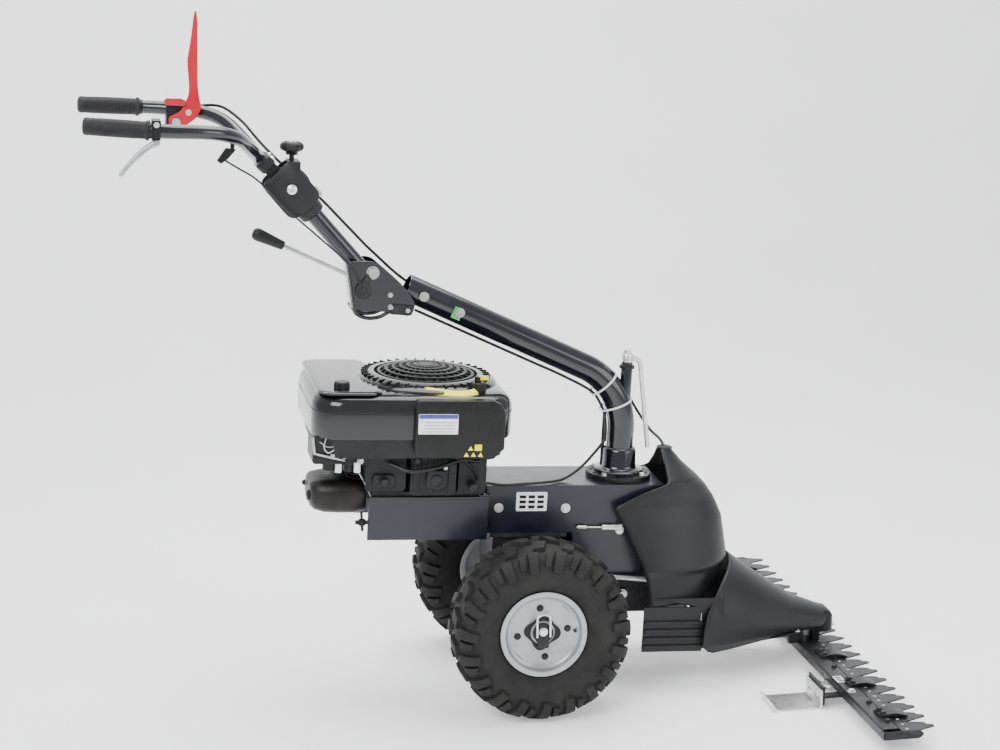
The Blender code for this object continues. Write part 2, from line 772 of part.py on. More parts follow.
def build_column(chassis):
    ring_low = FRAME_TOP + GAP
    ring_high = ring_low + RING_THICK
    foot = (COLUMN_X, 0, 0)
    profile = [(SPIGOT_RADIUS + GAP, ring_low), (RING_RADIUS, ring_low), (RING_RADIUS, ring_high)]
    profile.append((SPIGOT_RADIUS + GAP, ring_high))
    ring = add("swivel_ring", turned(profile, 28), "dark_steel", chassis, foot)
    cut(ring, ring_holes(), at=foot)

    column = holder("column_axis", chassis, (COLUMN_X, 0, ring_high))
    bore = COLUMN_RADIUS + GAP
    low = ring_high + GAP
    profile = [
        (bore, ring_low + 0.0004),
        (SPIGOT_RADIUS, ring_low + 0.0004),
        (SPIGOT_RADIUS, low),
        (COLLAR_RADIUS, low),
        (COLLAR_RADIUS, low + 0.008),
        (0.036, low + 0.010),
        (0.034, low + 0.050),
        (bore, low + 0.050),
    ]
    add("column_collar", turned(profile, 28), "black_paint", column, foot)

    tube = sweep(column_path(), COLUMN_RADIUS, 18, COLUMN_RADIUS - COLUMN_WALL)
    post = add("column_tube", tube, "black_paint", column)
    join(post, rod(0.012, LOCK_TOP - 0.087, LOCK_TOP, 16), at=(LOCK_X, 0, 0))

    lock_spot = (LOCK_X, 0, LOCK_TOP)
    lock_axis = holder("lock_axis", column, lock_spot)
    lever = add("lock_lever", rod(0.011, 0.0005, 0.020, 14), "zinc", lock_axis, lock_spot)
    join(lever, sweep(LOCK_ROD_ROUTE, LOCK_ROD_RADIUS, 10))
    return column


# ---------------------------------------------------------------- handle and controls
def handle_direction():
    """From the hinge bolt, down the handle tube."""
    return Vector((math.cos(HANDLE_SLOPE), 0, -math.sin(HANDLE_SLOPE)))


def hinge_point():
    return Vector((HINGE_X, 0, HINGE_Z))


def down_turn():
    return handle_direction().to_track_quat("Z", "Y")


def build_handle_tube(column):
    hinge = hinge_point()
    down = handle_direction()
    ends = [along(hinge, down, HANDLE_TUBE_START), along(hinge, down, HANDLE_TUBE_END)]
    inside = HANDLE_TUBE_RADIUS - HANDLE_TUBE_WALL
    add("handle_tube", sweep(ends, HANDLE_TUBE_RADIUS, 18, inside), "black_paint", column)

    outside = BRACKET_INSIDE + SHEET
    bracket = add("control_bracket", slab(BRACKET_OUTLINE, -outside, outside), "black_paint", column)
    inner = [(-0.3805, 0.725), (-0.3437, 0.550), (-0.150, 0.550), (-0.150, 0.725)]
    cut(bracket, slab(inner, -BRACKET_INSIDE, BRACKET_INSIDE))
    room = [along(hinge, down, HANDLE_TUBE_START + 0.05), along(hinge, down, HANDLE_TUBE_END + 0.01)]
    cut(bracket, sweep(room, HANDLE_TUBE_RADIUS + GAP * 2, 18))
    slot_low = (-0.395, GEAR_ROD_Y - 0.0065, 0.600)
    slot_high = (-0.345, GEAR_ROD_Y + 0.0065, 0.678)
    cut(bracket, box(slot_low, slot_high))


def build_gear_rod(column):
    grip_end = Vector((-0.5690, GEAR_ROD_Y, 0.7484))
    rod_end = Vector((-0.2960, GEAR_ROD_Y, 0.6328))
    heading = (rod_end - grip_end).normalized()
    slide = holder("gear_axis", column, grip_end)
    path = [along(grip_end, heading, 0.012) - grip_end, rod_end - grip_end]
    add("gear_rod", sweep(path, GEAR_ROD_RADIUS, 10), "steel", slide, grip_end)
    bore = GEAR_ROD_RADIUS + GAP
    profile = [(0, 0), (0.009, 0), (0.0125, 0.006), (0.0125, 0.022), (0.009, 0.066)]
    profile += [(bore, 0.066), (bore, 0.0115), (0, 0.0115)]
    add("gear_grip", turned(profile, 16), "black_plastic", slide, grip_end, heading.to_track_quat("Z", "Y"))


def build_hinge(column):
    """The lower half of the height hinge, its bolt and the knob on top of it."""
    hinge = hinge_point()
    down = handle_direction()
    inner = BARREL_HALF + 2 * GAP
    low_end = down * FORK_REACH
    outline = ring_outline((0, 0), CHEEK_RADIUS, (low_end.x, low_end.z), FORK_TIP_RADIUS, 10)
    fork = add("hinge_fork", slab(outline, inner, CHEEK_OUT), "black_plastic", column, hinge)
    rear, front, foot = KNOB_PAD
    half = CHEEK_OUT - 0.0008
    join(fork, box((rear, -half, foot), (front, half, KNOB_SEAT)))
    join(fork, slab(outline, -CHEEK_OUT, -inner))
    socket = rod(SOCKET_RADIUS, BARREL_HINGE_RADIUS + 0.0035, SOCKET_END, 20)
    join(fork, socket, at=hinge, turn=down_turn())
    room = BARREL_HALF + GAP
    cut(fork, rod(BARREL_HINGE_RADIUS + 0.0015, -room, room, 28, "Y"))
    bore = clear_of(HANDLE_TUBE_RADIUS, 18)
    cut(fork, rod(bore, BARREL_HINGE_RADIUS - 0.01, 0.110, 18), at=hinge, turn=down_turn())
    cut(fork, rod(HINGE_BOLT_RADIUS + GAP, -0.05, 0.05, 14, "Y"))

    head = HINGE_BOLT_HALF
    wide = HINGE_BOLT_HEAD_RADIUS
    profile = [
        (0, -head),
        (wide, -head),
        (wide, -CHEEK_OUT - GAP),
        (HINGE_BOLT_RADIUS, -CHEEK_OUT - GAP),
        (HINGE_BOLT_RADIUS, CHEEK_OUT + GAP),
        (wide, CHEEK_OUT + GAP),
        (wide, head),
        (0, head),
    ]
    add("hinge_bolt", turned(profile, 12, "Y"), "zinc", column, hinge)

    knob_spot = hinge + Vector((0.001, 0, KNOB_SEAT + GAP))
    knob_axis = holder("knob_axis", column, knob_spot)
    profile = [(0, 0), (0.005, 0), (0.005, 0.010), (0.011, 0.012), (0.015, 0.020), (0.023, 0.024)]
    profile += [(0.023, 0.029), (0.014, 0.037), (0, 0.039)]
    add("clamp_knob", turned(profile, 18), "black_plastic", knob_axis, knob_spot)


def arm_points(side):
    """The centre line of one arm: out of the hinge head, round the bends and back to the grip."""
    outward = Vector((math.cos(NECK_ANGLE), 0, math.sin(NECK_ANGLE)))
    root = hinge_point() + outward * (HEAD_REACH + GAP)
    root.y = ARM_START_Y
    bends = [root + outward * 0.010] + [Vector(point) for point in ARM_ROUTE]
    route = [root] + smooth_route(bends, 3) + [Vector(ARM_END)]
    return [Vector((point.x, side * point.y, point.z)) for point in route]


def grip_line(side):
    start = Vector(ARM_ROUTE[-1])
    end = Vector(ARM_END)
    for point in (start, end):
        point.y *= side
    return start, (end - start).normalized()


def build_handlebar(column):
    hinge = hinge_point()
    bar = holder("handlebar_axis", column, hinge)
    barrel = rod(BARREL_HINGE_RADIUS, -BARREL_HALF, BARREL_HALF, 24, "Y")
    hub = add("hinge_hub", barrel, "black_plastic", bar, hinge)
    outward = Vector((math.cos(NECK_ANGLE), 0, math.sin(NECK_ANGLE)))
    upward = outward.to_track_quat("X", "Z")
    half = BARREL_HALF - 0.0005
    join(hub, box((0.030, -half, -0.013), (0.066, half, 0.013)), at=hinge, turn=upward)
    join(hub, box((0.058, -0.037, -0.017), (HEAD_REACH, 0.037, 0.017)), at=hinge, turn=upward)
    cut(hub, rod(HINGE_BOLT_RADIUS + GAP, -0.05, 0.05, 14, "Y"))

    for label, side in (("left", 1), ("right", -1)):
        tube = sweep(arm_points(side), ARM_RADIUS, 12, ARM_RADIUS - ARM_WALL)
        add(f"handle_arm_{label}", tube, "black_paint", bar)
        start, heading = grip_line(side)
        bore = ARM_RADIUS + GAP
        length = GRIP_LENGTH
        profile = [
            (bore, 0),
            (0.0185, 0),
            (0.0185, 0.005),
            (GRIP_RADIUS, 0.007),
            (GRIP_RADIUS, length - 0.009),
            (0.012, length - 0.002),
            (0, length),
            (0, length - 0.0035),
            (bore, length - 0.0035),
        ]
        place = along(start, heading, GRIP_START)
        add(f"grip_{label}", turned(profile, 20), "rubber", bar, place, heading.to_track_quat("Z", "Y"))
    return bar


def build_clutch_lever(bar):
    """The tall sheet-steel lever on the left arm, its clamp block and its locking pawl."""
    inner = LEVER_Y + 0.0035
    block = box((-0.728, inner, 0.925), (-0.688, 0.2120, 0.9765))
    bracket = add("clutch_bracket", block, "black_plastic", bar)
    cut(bracket, sweep(arm_points(1), ARM_RADIUS + GAP, 12))

    pivot = (-0.7085, LEVER_Y, 0.9370)
    swing = holder("clutch_lever_axis", bar, pivot)
    outline = [
        (-0.7185, 0.928),
        (-0.7085, 0.924),
        (-0.6944, 0.928),
        (-0.6706, 0.9445),
        (-0.6589, 0.9664),
        (-0.6638, 0.9843),
        (-0.6675, 1.0115),
        (-0.6690, 1.060),
        (-0.6700, 1.100),
        (-0.6710, 1.1400),
        (-0.6740, 1.1580),
        (-0.6775, 1.1560),
        (-0.6800, 1.138),
        (-0.6840, 1.099),
        (-0.6900, 1.059),
        (-0.6850, 1.011),
        (-0.6850, 0.9944),
        (-0.6922, 0.9743),
        (-0.7000, 0.959),
        (-0.7145, 0.9524),
        (-0.7240, 0.9462),
        (-0.7230, 0.934),
    ]
    local = [(x - pivot[0], z - pivot[2]) for x, z in outline]
    add("clutch_lever", slab(local, -0.003, 0.003), "red_paint", swing, pivot)

    pin = (-0.6955, LEVER_Y - 0.0055, 0.9755)
    tip = holder("pawl_axis", swing, pin)
    outline = [
        (-0.7344, 0.977),
        (-0.7287, 0.985),
        (-0.7012, 0.986),
        (-0.6905, 0.9785),
        (-0.6905, 0.970),
        (-0.7284, 0.971),
    ]
    local = [(x - pin[0], z - pin[2]) for x, z in outline]
    add("lock_pawl", slab(local, -0.002, 0.002), "red_paint", tip, pin)


def build_small_levers(bar):
    block = box((-0.777, -0.2200, 0.9458), (-0.761, -0.1820, 0.982))
    bracket = add("drive_lever_bracket", block, "black_plastic", bar)
    cut(bracket, sweep(arm_points(-1), ARM_RADIUS + GAP, 12))

    pivot = (-0.7665, -0.204, 0.9400)
    squeeze = holder("drive_lever_axis", bar, pivot)
    outline = [
        (-0.7700, 0.9445),
        (-0.7605, 0.9400),
        (-0.7827, 0.9262),
        (-0.8041, 0.9073),
        (-0.8218, 0.8885),
        (-0.8306, 0.8735),
        (-0.8361, 0.8771),
        (-0.8256, 0.8994),
        (-0.8007, 0.9221),
        (-0.7793, 0.9373),
    ]
    local = [(x - pivot[0], z - pivot[2]) for x, z in outline]
    add("drive_lever", slab(local, -0.006, 0.006), "cast_aluminium", squeeze, pivot)

    pivot = (-0.6220, -0.125, 0.9175)
    pull = holder("reverse_lever_axis", bar, pivot)
    outline = [(-0.634, 0.924), (-0.615, 0.9215), (-0.630, 0.9035), (-0.6428, 0.894), (-0.6504, 0.8995)]
    local = [(x - pivot[0], z - pivot[2]) for x, z in outline]
    add("reverse_lever", slab(local, -0.005, 0.005), "black_plastic", pull, pivot)


# ---------------------------------------------------------------- hood and guards
HOOD_LEVELS = (  # height, rear edge, front, half width
    (0.015, 0.247, 0.438, 0.147),
    (0.060, 0.240, 0.441, 0.142),
    (0.100, 0.226, 0.440, 0.134),
    (0.172, 0.191, 0.426, 0.112),
    (0.210, 0.172, 0.407, 0.098),
    (0.238, 0.230, 0.386, 0.093),
    (0.256, 0.286, 0.368, 0.082),
    (0.285, 0.287, 0.333, 0.047),
    (0.314, 0.285, 0.306, 0.014),
)
HOOD_FRONT_RISE = 0.080
HOOD_WALL = 0.003
APRON_HALF = 0.142
APRON_REAR = 0.235
APRON_FRONT = 0.3615
APRON_BOTTOM = -0.083
APRON_TOP = 0.012
APRON_LOW_FRONT = -0.025


def between(levels, height):
    """Values at a height, read between the rows of a table of levels."""
    for lower, upper in zip(levels, levels[1:]):
        if height <= upper[0]:
            share = max(0.0, (height - lower[0]) / (upper[0] - lower[0]))
            return [a + (b - a) * share for a, b in zip(lower[1:], upper[1:])]
    return list(levels[-1][1:])


def add_sheet(name, grid, thickness, finish, parent, at=(0.0, 0.0, 0.0)):
    """A sheet of grid points, facing outwards, with a wall built on its inner side."""
    shape = bmesh.new()
    rows = [[shape.verts.new(point) for point in row] for row in grid]
    for lower, upper in zip(rows, rows[1:]):
        for i in range(len(lower) - 1):
            shape.faces.new((lower[i], lower[i + 1], upper[i + 1], upper[i]))
    shape.normal_update()
    mesh = bpy.data.meshes.new(name)
    shape.to_mesh(mesh)
    shape.free()
    mesh.shade_smooth()
    piece = link_piece(name, mesh, finish, parent, at)
    solid = piece.modifiers.new("wall", "SOLIDIFY")
    solid.thickness = thickness
    solid.offset = -1.0
    return piece


def build_hood(chassis):
    top = HOOD_LEVELS[-1][0]
    across, up = 16, 9
    grid = []
    for i in range(up + 1):
        row = []
        for j in range(across + 1):
            angle = math.radians(-90 + 180 * j / across)
            ease = max(0.0, 1 - abs(angle) / math.radians(60))
            foot = HOOD_LEVELS[0][0] + HOOD_FRONT_RISE * ease * ease * (3 - 2 * ease)
            height = foot + (top - foot) * i / up
            rear, front, half = between(HOOD_LEVELS, height)
            row.append((rear + (front - rear) * math.cos(angle), half * math.sin(angle), height))
        grid.append(row)
    add_sheet("hood", grid, HOOD_WALL, "black_plastic", chassis)

    side = APRON_HALF
    wall = SHEET
    shape = box((APRON_REAR, -side, APRON_BOTTOM), (APRON_FRONT, side, APRON_TOP))
    apron = add("lower_apron", shape, "black_plastic", chassis)
    low = (APRON_REAR - 0.01, wall - side, APRON_BOTTOM - 0.01)
    cut(apron, box(low, (APRON_FRONT - wall, side - wall, 0.02)))
    low = (APRON_FRONT - wall - 0.0015, -side - 0.01, APRON_LOW_FRONT)
    cut(apron, box(low, (APRON_FRONT + 0.01, side + 0.01, 0.02)))


GUARD_STATIONS = (  # side x, top x, half width, top height
    (0.355, 0.450, 0.165, 0.245),
    (0.420, 0.500, 0.142, 0.206),
    (0.490, 0.552, 0.110, 0.168),
    (0.550, 0.598, 0.082, 0.137),
    (0.605, 0.645, 0.062, 0.118),
    (0.645, 0.672, 0.048, 0.108),
    (0.660, 0.678, 0.030, 0.098),
)
GUARD_BOTTOM = 0.078


def build_guard(level):
    across = 16
    grid = []
    for side_x, top_x, half, top in GUARD_STATIONS:
        row = []
        for j in range(across + 1):
            angle = math.radians(-90 + 180 * j / across)
            share = math.cos(angle) ** 0.8 if math.cos(angle) > 1e-9 else 0.0
            height = GUARD_BOTTOM + (top - GUARD_BOTTOM) * share
            row.append((side_x + (top_x - side_x) * share, half * math.sin(angle), height))
        grid.append(row)
    add_sheet("bar_guard", grid, HOOD_WALL, "black_plastic", level)


# ---------------------------------------------------------------- cutter bar
def toothed_plate(rear, root, tip, centres, half_root, half_tip, half_length):
    """A strip whose front edge has a row of pointed teeth."""
    outline = [(rear, half_length), (rear, -half_length), (root, -half_length)]
    for y in centres:
        outline += [(root, y - half_root), (tip, y - half_tip), (tip, y + half_tip), (root, y + half_root)]
    outline.append((root, half_length))
    return outline


def build_bar(level):
    end = BAR_HALF
    lip = 0.006
    section = [
        (BEAM_REAR, BEAM_BOTTOM),
        (BEAM_FRONT, BEAM_BOTTOM),
        (BEAM_FRONT, BEAM_TOP),
        (BEAM_REAR + lip, BEAM_TOP),
        (BEAM_REAR + lip, BEAM_TOP + 0.008),
        (BEAM_REAR, BEAM_TOP + 0.008),
    ]
    beam = add("bar_beam", slab(section, -end + 0.004, end - 0.004), "dark_steel", level)
    wall = RISER_FACE + 0.0005
    step = wall + 0.0042
    bracket = [
        (wall, 0.008),
        (step, 0.008),
        (step, BEAM_BOTTOM - 0.0048),
        (0.620, BEAM_BOTTOM - 0.0048),
        (0.620, BEAM_BOTTOM + 0.0015),
        (step, BEAM_BOTTOM + 0.0015),
        (step, 0.046),
        (wall, 0.046),
    ]
    for side in (-1, 1):
        middle = side * SKID_Y
        join(beam, slab(bracket, middle - SKID_WIDTH / 2, middle + SKID_WIDTH / 2))

    places = [(k - (BAR_SECTIONS - 1) / 2 + 0.5) * BAR_PITCH for k in range(BAR_SECTIONS - 1)]
    outline = toothed_plate(COMB_REAR, 0.662, COMB_TIP, places, 0.012, 0.003, end)
    add("finger_comb", slab(outline, COMB_BOTTOM, COMB_TOP, "XY"), "dark_steel", level)

    knife_spot = (KNIFE_REAR, 0, KNIFE_BOTTOM)
    stroke = holder("knife_axis", level, knife_spot)
    places = [(k - (BAR_SECTIONS - 1) / 2) * BAR_PITCH for k in range(BAR_SECTIONS)]
    outline = toothed_plate(KNIFE_REAR, 0.664, KNIFE_TIP, places, 0.0235, 0.004, end - 0.0012)
    knife = add("knife", slab(outline, KNIFE_BOTTOM, KNIFE_TOP, "XY"), "dark_steel", stroke)
    tip_x = ROCKER_X + ROCKER_REACH
    for side in (-1, 1):
        near, far = side * 0.0098, side * 0.0168
        low = (tip_x - 0.008, min(near, far), KNIFE_TOP - 0.002)
        post = box(low, (tip_x + 0.008, max(near, far), POST_TOP))
        join(knife, post, at=(0, 0, 0))

    rail_low = KNIFE_BOTTOM
    rail_rear, rail_front = COMB_REAR + 0.001, KNIFE_REAR - 0.003
    section = [(rail_rear, rail_low), (rail_front, rail_low), (rail_front, RAIL_TOP), (rail_rear, RAIL_TOP)]
    rail = add("knife_clamp_rail", slab(section, -end + 0.012, end - 0.012), "dark_steel", level)
    for place in CLAMP_PLACES:
        for middle in (-place, place):
            low = (COMB_REAR + 0.004, middle - CLIP_HALF, KNIFE_TOP + GAP)
            join(rail, box(low, (CLIP_FRONT, middle + CLIP_HALF, CLIP_TOP)))

    for label, side in (("left", 1), ("right", -1)):
        middle = side * SKID_Y
        spot = (RISER_FACE, middle, 0.0)
        slide = holder(f"skid_{label}_axis", level, spot)
        face = RISER_FACE
        outline = [
            (0.4620, 0.0085),
            (0.4650, 0.0),
            (face, 0.0),
            (face, 0.040),
            (face - 0.004, 0.040),
            (face - 0.004, 0.004),
            (0.4672, 0.004),
            (0.4655, 0.0098),
        ]
        local = [(x - face, z) for x, z in outline]
        add(f"skid_{label}", slab(local, -SKID_WIDTH / 2, SKID_WIDTH / 2), "zinc", slide, spot)


def build_bar_drive(level):
    """The casting that carries the bar, and the rocker arm below it that drives the knife."""
    roof = 0.0683
    side_view = [
        (CARRIER_REAR, 0.222),
        (CARRIER_REAR, 0.140),
        (0.420, 0.100),
        (0.545, roof),
        (0.640, roof),
        (0.640, 0.092),
        (0.600, 0.105),
        (0.430, 0.205),
        (0.400, 0.222),
    ]
    carrier = add("bar_carrier", slab(side_view, -CARRIER_HALF, CARRIER_HALF), "cast_iron", level)
    foot = BEAM_TOP + 0.008 + GAP
    for low in (-CARRIER_HALF - 0.006, CARRIER_HALF - 0.004):
        join(carrier, box((0.580, low, foot), (COMB_REAR - 0.0005, low + 0.010, roof + 0.010)))
    join(carrier, rod(0.008, 0.0455, roof + 0.010, 16), at=(ROCKER_X, 0, 0))

    spot = (ROCKER_X, 0, 0.0475)
    rock = holder("rocker_axis", level, spot)
    outline = ring_outline((0, 0), 0.016, (ROCKER_REACH, 0), 0.006, 8)
    arm = add("drive_arm", slab(outline, 0.0, 0.0105, "XY"), "steel", rock, spot)
    join(arm, rod(0.016, 0.0, 0.0202, 18))
    join(arm, rod(0.009, 0.0, 0.0105, 14), at=(ROCKER_X + ROCKER_REACH, 0, spot[2]))
    cut(arm, rod(0.008 + GAP, -0.01, 0.03, 16))


# ---------------------------------------------------------------- cables
def build_cables(chassis, column, bar):
    cable("clutch_cable_upper", (
        (-0.6845, 0.2070, 0.957),
        (-0.660, 0.2040, 0.966),
        (-0.620, 0.1650, 0.970),
        (-0.585, 0.1080, 0.950),
        (-0.555, 0.0640, 0.918),
        (-0.530, 0.0480, 0.893),
        (-0.5065, 0.0392, 0.8730),
    ), bar)
    cable("clutch_cable_column", (
        (-0.4990, 0.0375, 0.8660),
        (-0.4727, 0.0370, 0.8439),
        (-0.4292, 0.0365, 0.8067),
        (-0.3715, 0.0365, 0.7501),
        (-0.3200, 0.0370, 0.7010),
        (-0.2461, 0.0370, 0.6420),
        (-0.1480, 0.0350, 0.6020),
        (0.0200, 0.0340, 0.5350),
        (0.1000, 0.0340, 0.4960),
        (0.1650, 0.0345, 0.4560),
        (0.2050, 0.0350, 0.4300),
    ), column)
    cable("clutch_cable_hood", (
        (0.2085, 0.0380, 0.4255),
        (0.2260, 0.0490, 0.4080),
        (0.2500, 0.0590, 0.3740),
        (0.2740, 0.0480, 0.3400),
        (0.2900, 0.0200, 0.3250),
        (0.2960, 0.0020, 0.3120),
    ), chassis)
    below = COLUMN_RADIUS + CABLE_RADIUS + 0.0035
    drop = COLUMN_BEND - below
    tangent = COLUMN_BEND * math.tan((math.pi / 2 - COLUMN_SLOPE) / 2)
    centre = (COLUMN_X - COLUMN_BEND, COLUMN_CORNER_Z - tangent)
    route = [column_point(distance, below) for distance in (0.465, 0.38, 0.29, 0.20, 0.13)]
    for degrees in (50, 32, 15, 0):
        angle = math.radians(degrees)
        route.append((centre[0] + drop * math.cos(angle), 0, centre[1] + drop * math.sin(angle)))
    route.append((COLUMN_X - below, 0, 0.330))
    cable("throttle_cable_column", [(x, -0.008, z) for x, _, z in route], column)
    cable("throttle_cable_engine", (
        (-0.0960, -0.1000, 0.264),
        (-0.0600, -0.0910, 0.2575),
        (-0.0200, -0.0800, 0.2562),
        (0.0350, -0.0660, 0.2562),
        (0.0746, -0.0450, 0.2575),
        (0.1120, -0.0280, 0.2760),
        (0.1400, -0.0170, 0.3010),
        (0.1640, -0.0085, 0.3270),
    ), chassis)
    cable("reverse_cable", (
        (-0.6330, -0.1165, 0.8985),
        (-0.6050, -0.0960, 0.8810),
        (-0.5750, -0.0690, 0.8620),
        (-0.5455, -0.0430, 0.8360),
        (-0.5250, -0.0400, 0.8150),
        (-0.4986, -0.0400, 0.7907),
        (-0.4384, -0.0400, 0.7408),
        (-0.3900, -0.0400, 0.7000),
        (-0.3650, -0.0400, 0.6700),
        (-0.3500, -0.0400, 0.6350),
    ), bar, THIN_CABLE_RADIUS)


# ---------------------------------------------------------------- assembly
def centre_on_origin(machine):
    """Moves the machine so that the middle of its box stands over the origin."""
    bpy.context.view_layer.update()
    graph = bpy.context.evaluated_depsgraph_get()
    reach = []
    for piece in bpy.context.scene.objects:
        if piece.type == "EMPTY" or piece.hide_render:
            continue
        evaluated = piece.evaluated_get(graph)
        mesh = evaluated.to_mesh()
        reach += [(evaluated.matrix_world @ vertex.co).x for vertex in mesh.vertices]
        evaluated.to_mesh_clear()
    machine.location.x = -(min(reach) + max(reach)) / 2


def main():
    clear_scene()
    machine = holder("machine", frame_origin=True)
    chassis = holder("chassis", machine, (0, 0, TYRE_RADIUS), CHASSIS_PITCH, frame_origin=True)
    for label, side in (("left", 1), ("right", -1)):
        build_wheel(machine, label, side)
    build_transmission(chassis)
    build_frame(chassis)
    build_gearbox(chassis)
    build_belt_drive(chassis)
    build_engine(chassis)
    column = build_column(chassis)
    build_handle_tube(column)
    build_gear_rod(column)
    build_hinge(column)
    bar = build_handlebar(column)
    build_clutch_lever(bar)
    build_small_levers(bar)
    build_hood(chassis)
    build_guard(machine)
    build_bar(machine)
    build_bar_drive(machine)
    build_cables(chassis, column, bar)
    centre_on_origin(machine)


main()
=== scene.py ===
# %% [markdown]
# # A walk-behind mower, piece by piece
# The machine has two wheels, a flat engine behind the axle, a bent steering column and a long
# cutter bar across the front. The solid frame already has the joints and the sizes. This lesson
# gives it its surfaces: moulded plastic, painted tube, zinc, cast metal and rubber.
# We start by loading the frame and keeping its box, so that the looks can be held to its size.

# %% Load the frame
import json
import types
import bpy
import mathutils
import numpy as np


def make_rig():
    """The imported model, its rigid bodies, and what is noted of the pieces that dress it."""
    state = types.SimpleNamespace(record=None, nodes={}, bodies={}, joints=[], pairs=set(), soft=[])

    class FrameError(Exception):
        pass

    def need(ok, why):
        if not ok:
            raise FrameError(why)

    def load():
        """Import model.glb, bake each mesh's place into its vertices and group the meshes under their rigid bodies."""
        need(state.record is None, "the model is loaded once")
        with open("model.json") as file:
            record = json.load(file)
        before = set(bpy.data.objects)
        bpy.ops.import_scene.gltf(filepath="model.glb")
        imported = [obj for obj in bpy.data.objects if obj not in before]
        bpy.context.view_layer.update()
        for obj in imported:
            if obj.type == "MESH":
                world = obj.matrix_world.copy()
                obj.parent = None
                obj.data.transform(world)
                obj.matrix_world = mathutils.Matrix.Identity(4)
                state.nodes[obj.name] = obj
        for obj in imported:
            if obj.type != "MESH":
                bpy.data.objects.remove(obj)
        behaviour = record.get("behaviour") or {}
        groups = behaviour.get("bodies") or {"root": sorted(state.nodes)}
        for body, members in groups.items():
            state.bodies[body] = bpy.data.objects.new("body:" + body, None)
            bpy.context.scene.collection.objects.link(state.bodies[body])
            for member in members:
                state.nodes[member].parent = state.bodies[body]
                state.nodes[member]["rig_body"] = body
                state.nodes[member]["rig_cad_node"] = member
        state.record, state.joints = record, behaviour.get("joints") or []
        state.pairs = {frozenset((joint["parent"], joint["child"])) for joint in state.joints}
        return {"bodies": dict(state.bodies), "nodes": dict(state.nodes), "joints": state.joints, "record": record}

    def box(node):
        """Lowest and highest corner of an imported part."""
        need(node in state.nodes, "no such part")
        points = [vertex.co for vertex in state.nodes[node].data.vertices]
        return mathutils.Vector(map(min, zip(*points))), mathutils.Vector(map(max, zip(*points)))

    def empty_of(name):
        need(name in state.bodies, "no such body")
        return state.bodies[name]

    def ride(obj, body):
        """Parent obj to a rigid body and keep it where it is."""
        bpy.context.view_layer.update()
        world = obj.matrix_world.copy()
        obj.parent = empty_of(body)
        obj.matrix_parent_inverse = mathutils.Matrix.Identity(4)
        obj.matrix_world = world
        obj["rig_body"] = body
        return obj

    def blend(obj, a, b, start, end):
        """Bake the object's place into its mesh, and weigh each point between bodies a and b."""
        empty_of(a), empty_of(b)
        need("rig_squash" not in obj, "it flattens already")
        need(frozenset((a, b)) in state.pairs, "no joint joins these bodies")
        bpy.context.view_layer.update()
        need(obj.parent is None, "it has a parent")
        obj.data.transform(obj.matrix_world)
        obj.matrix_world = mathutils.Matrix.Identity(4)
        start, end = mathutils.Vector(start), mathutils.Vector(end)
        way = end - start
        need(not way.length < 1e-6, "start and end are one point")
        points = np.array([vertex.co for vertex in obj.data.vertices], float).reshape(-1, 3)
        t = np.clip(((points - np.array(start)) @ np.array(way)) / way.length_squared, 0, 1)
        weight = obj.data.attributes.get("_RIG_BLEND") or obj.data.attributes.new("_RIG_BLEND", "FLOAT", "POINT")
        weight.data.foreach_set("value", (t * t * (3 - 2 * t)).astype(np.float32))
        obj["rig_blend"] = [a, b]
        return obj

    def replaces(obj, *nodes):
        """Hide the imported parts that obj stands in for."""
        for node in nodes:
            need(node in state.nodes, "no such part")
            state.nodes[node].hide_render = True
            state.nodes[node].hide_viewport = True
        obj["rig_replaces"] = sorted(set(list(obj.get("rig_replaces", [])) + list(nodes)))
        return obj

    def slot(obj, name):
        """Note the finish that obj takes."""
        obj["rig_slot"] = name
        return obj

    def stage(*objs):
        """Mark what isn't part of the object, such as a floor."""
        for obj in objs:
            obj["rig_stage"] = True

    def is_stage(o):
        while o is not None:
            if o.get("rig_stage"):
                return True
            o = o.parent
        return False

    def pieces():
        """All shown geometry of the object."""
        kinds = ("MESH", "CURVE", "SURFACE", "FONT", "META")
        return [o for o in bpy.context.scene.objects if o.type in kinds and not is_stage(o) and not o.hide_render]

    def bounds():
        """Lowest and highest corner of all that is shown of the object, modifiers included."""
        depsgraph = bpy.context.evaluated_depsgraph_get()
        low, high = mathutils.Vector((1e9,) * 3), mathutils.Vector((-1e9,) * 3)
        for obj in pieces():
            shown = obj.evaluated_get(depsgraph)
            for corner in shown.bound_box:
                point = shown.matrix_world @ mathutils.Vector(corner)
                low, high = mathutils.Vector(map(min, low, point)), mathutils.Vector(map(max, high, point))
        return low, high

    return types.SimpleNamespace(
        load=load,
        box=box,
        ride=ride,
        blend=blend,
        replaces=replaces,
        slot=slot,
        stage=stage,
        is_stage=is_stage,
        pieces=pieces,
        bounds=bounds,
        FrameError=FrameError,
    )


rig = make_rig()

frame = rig.load()

import json
import math

import bmesh
import bpy
from mathutils import Matrix, Vector

frame_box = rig.bounds()
print("bodies:", len(frame["bodies"]), "frame box:", frame_box)

# %% [markdown]
# ## Two places to build in
# Most of the machine is built on a chassis that leans 3 degrees nose down, with its origin on
# the axle. The cutter bar and its guard are level with the ground. Two matrices turn measures
# taken in either place into the shared frame, so each piece can be drawn in its own simple axes.

# %% The chassis and the ground as places
axle_low, axle_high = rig.box("axle_shaft")
AXLE = (axle_low + axle_high) / 2
CHASSIS = Matrix.Translation(AXLE) @ Matrix.Rotation(math.radians(3.0), 4, "Y")
LEVEL = Matrix.Translation((AXLE.x, 0.0, 0.0))
print("axle at", tuple(round(value, 4) for value in AXLE))

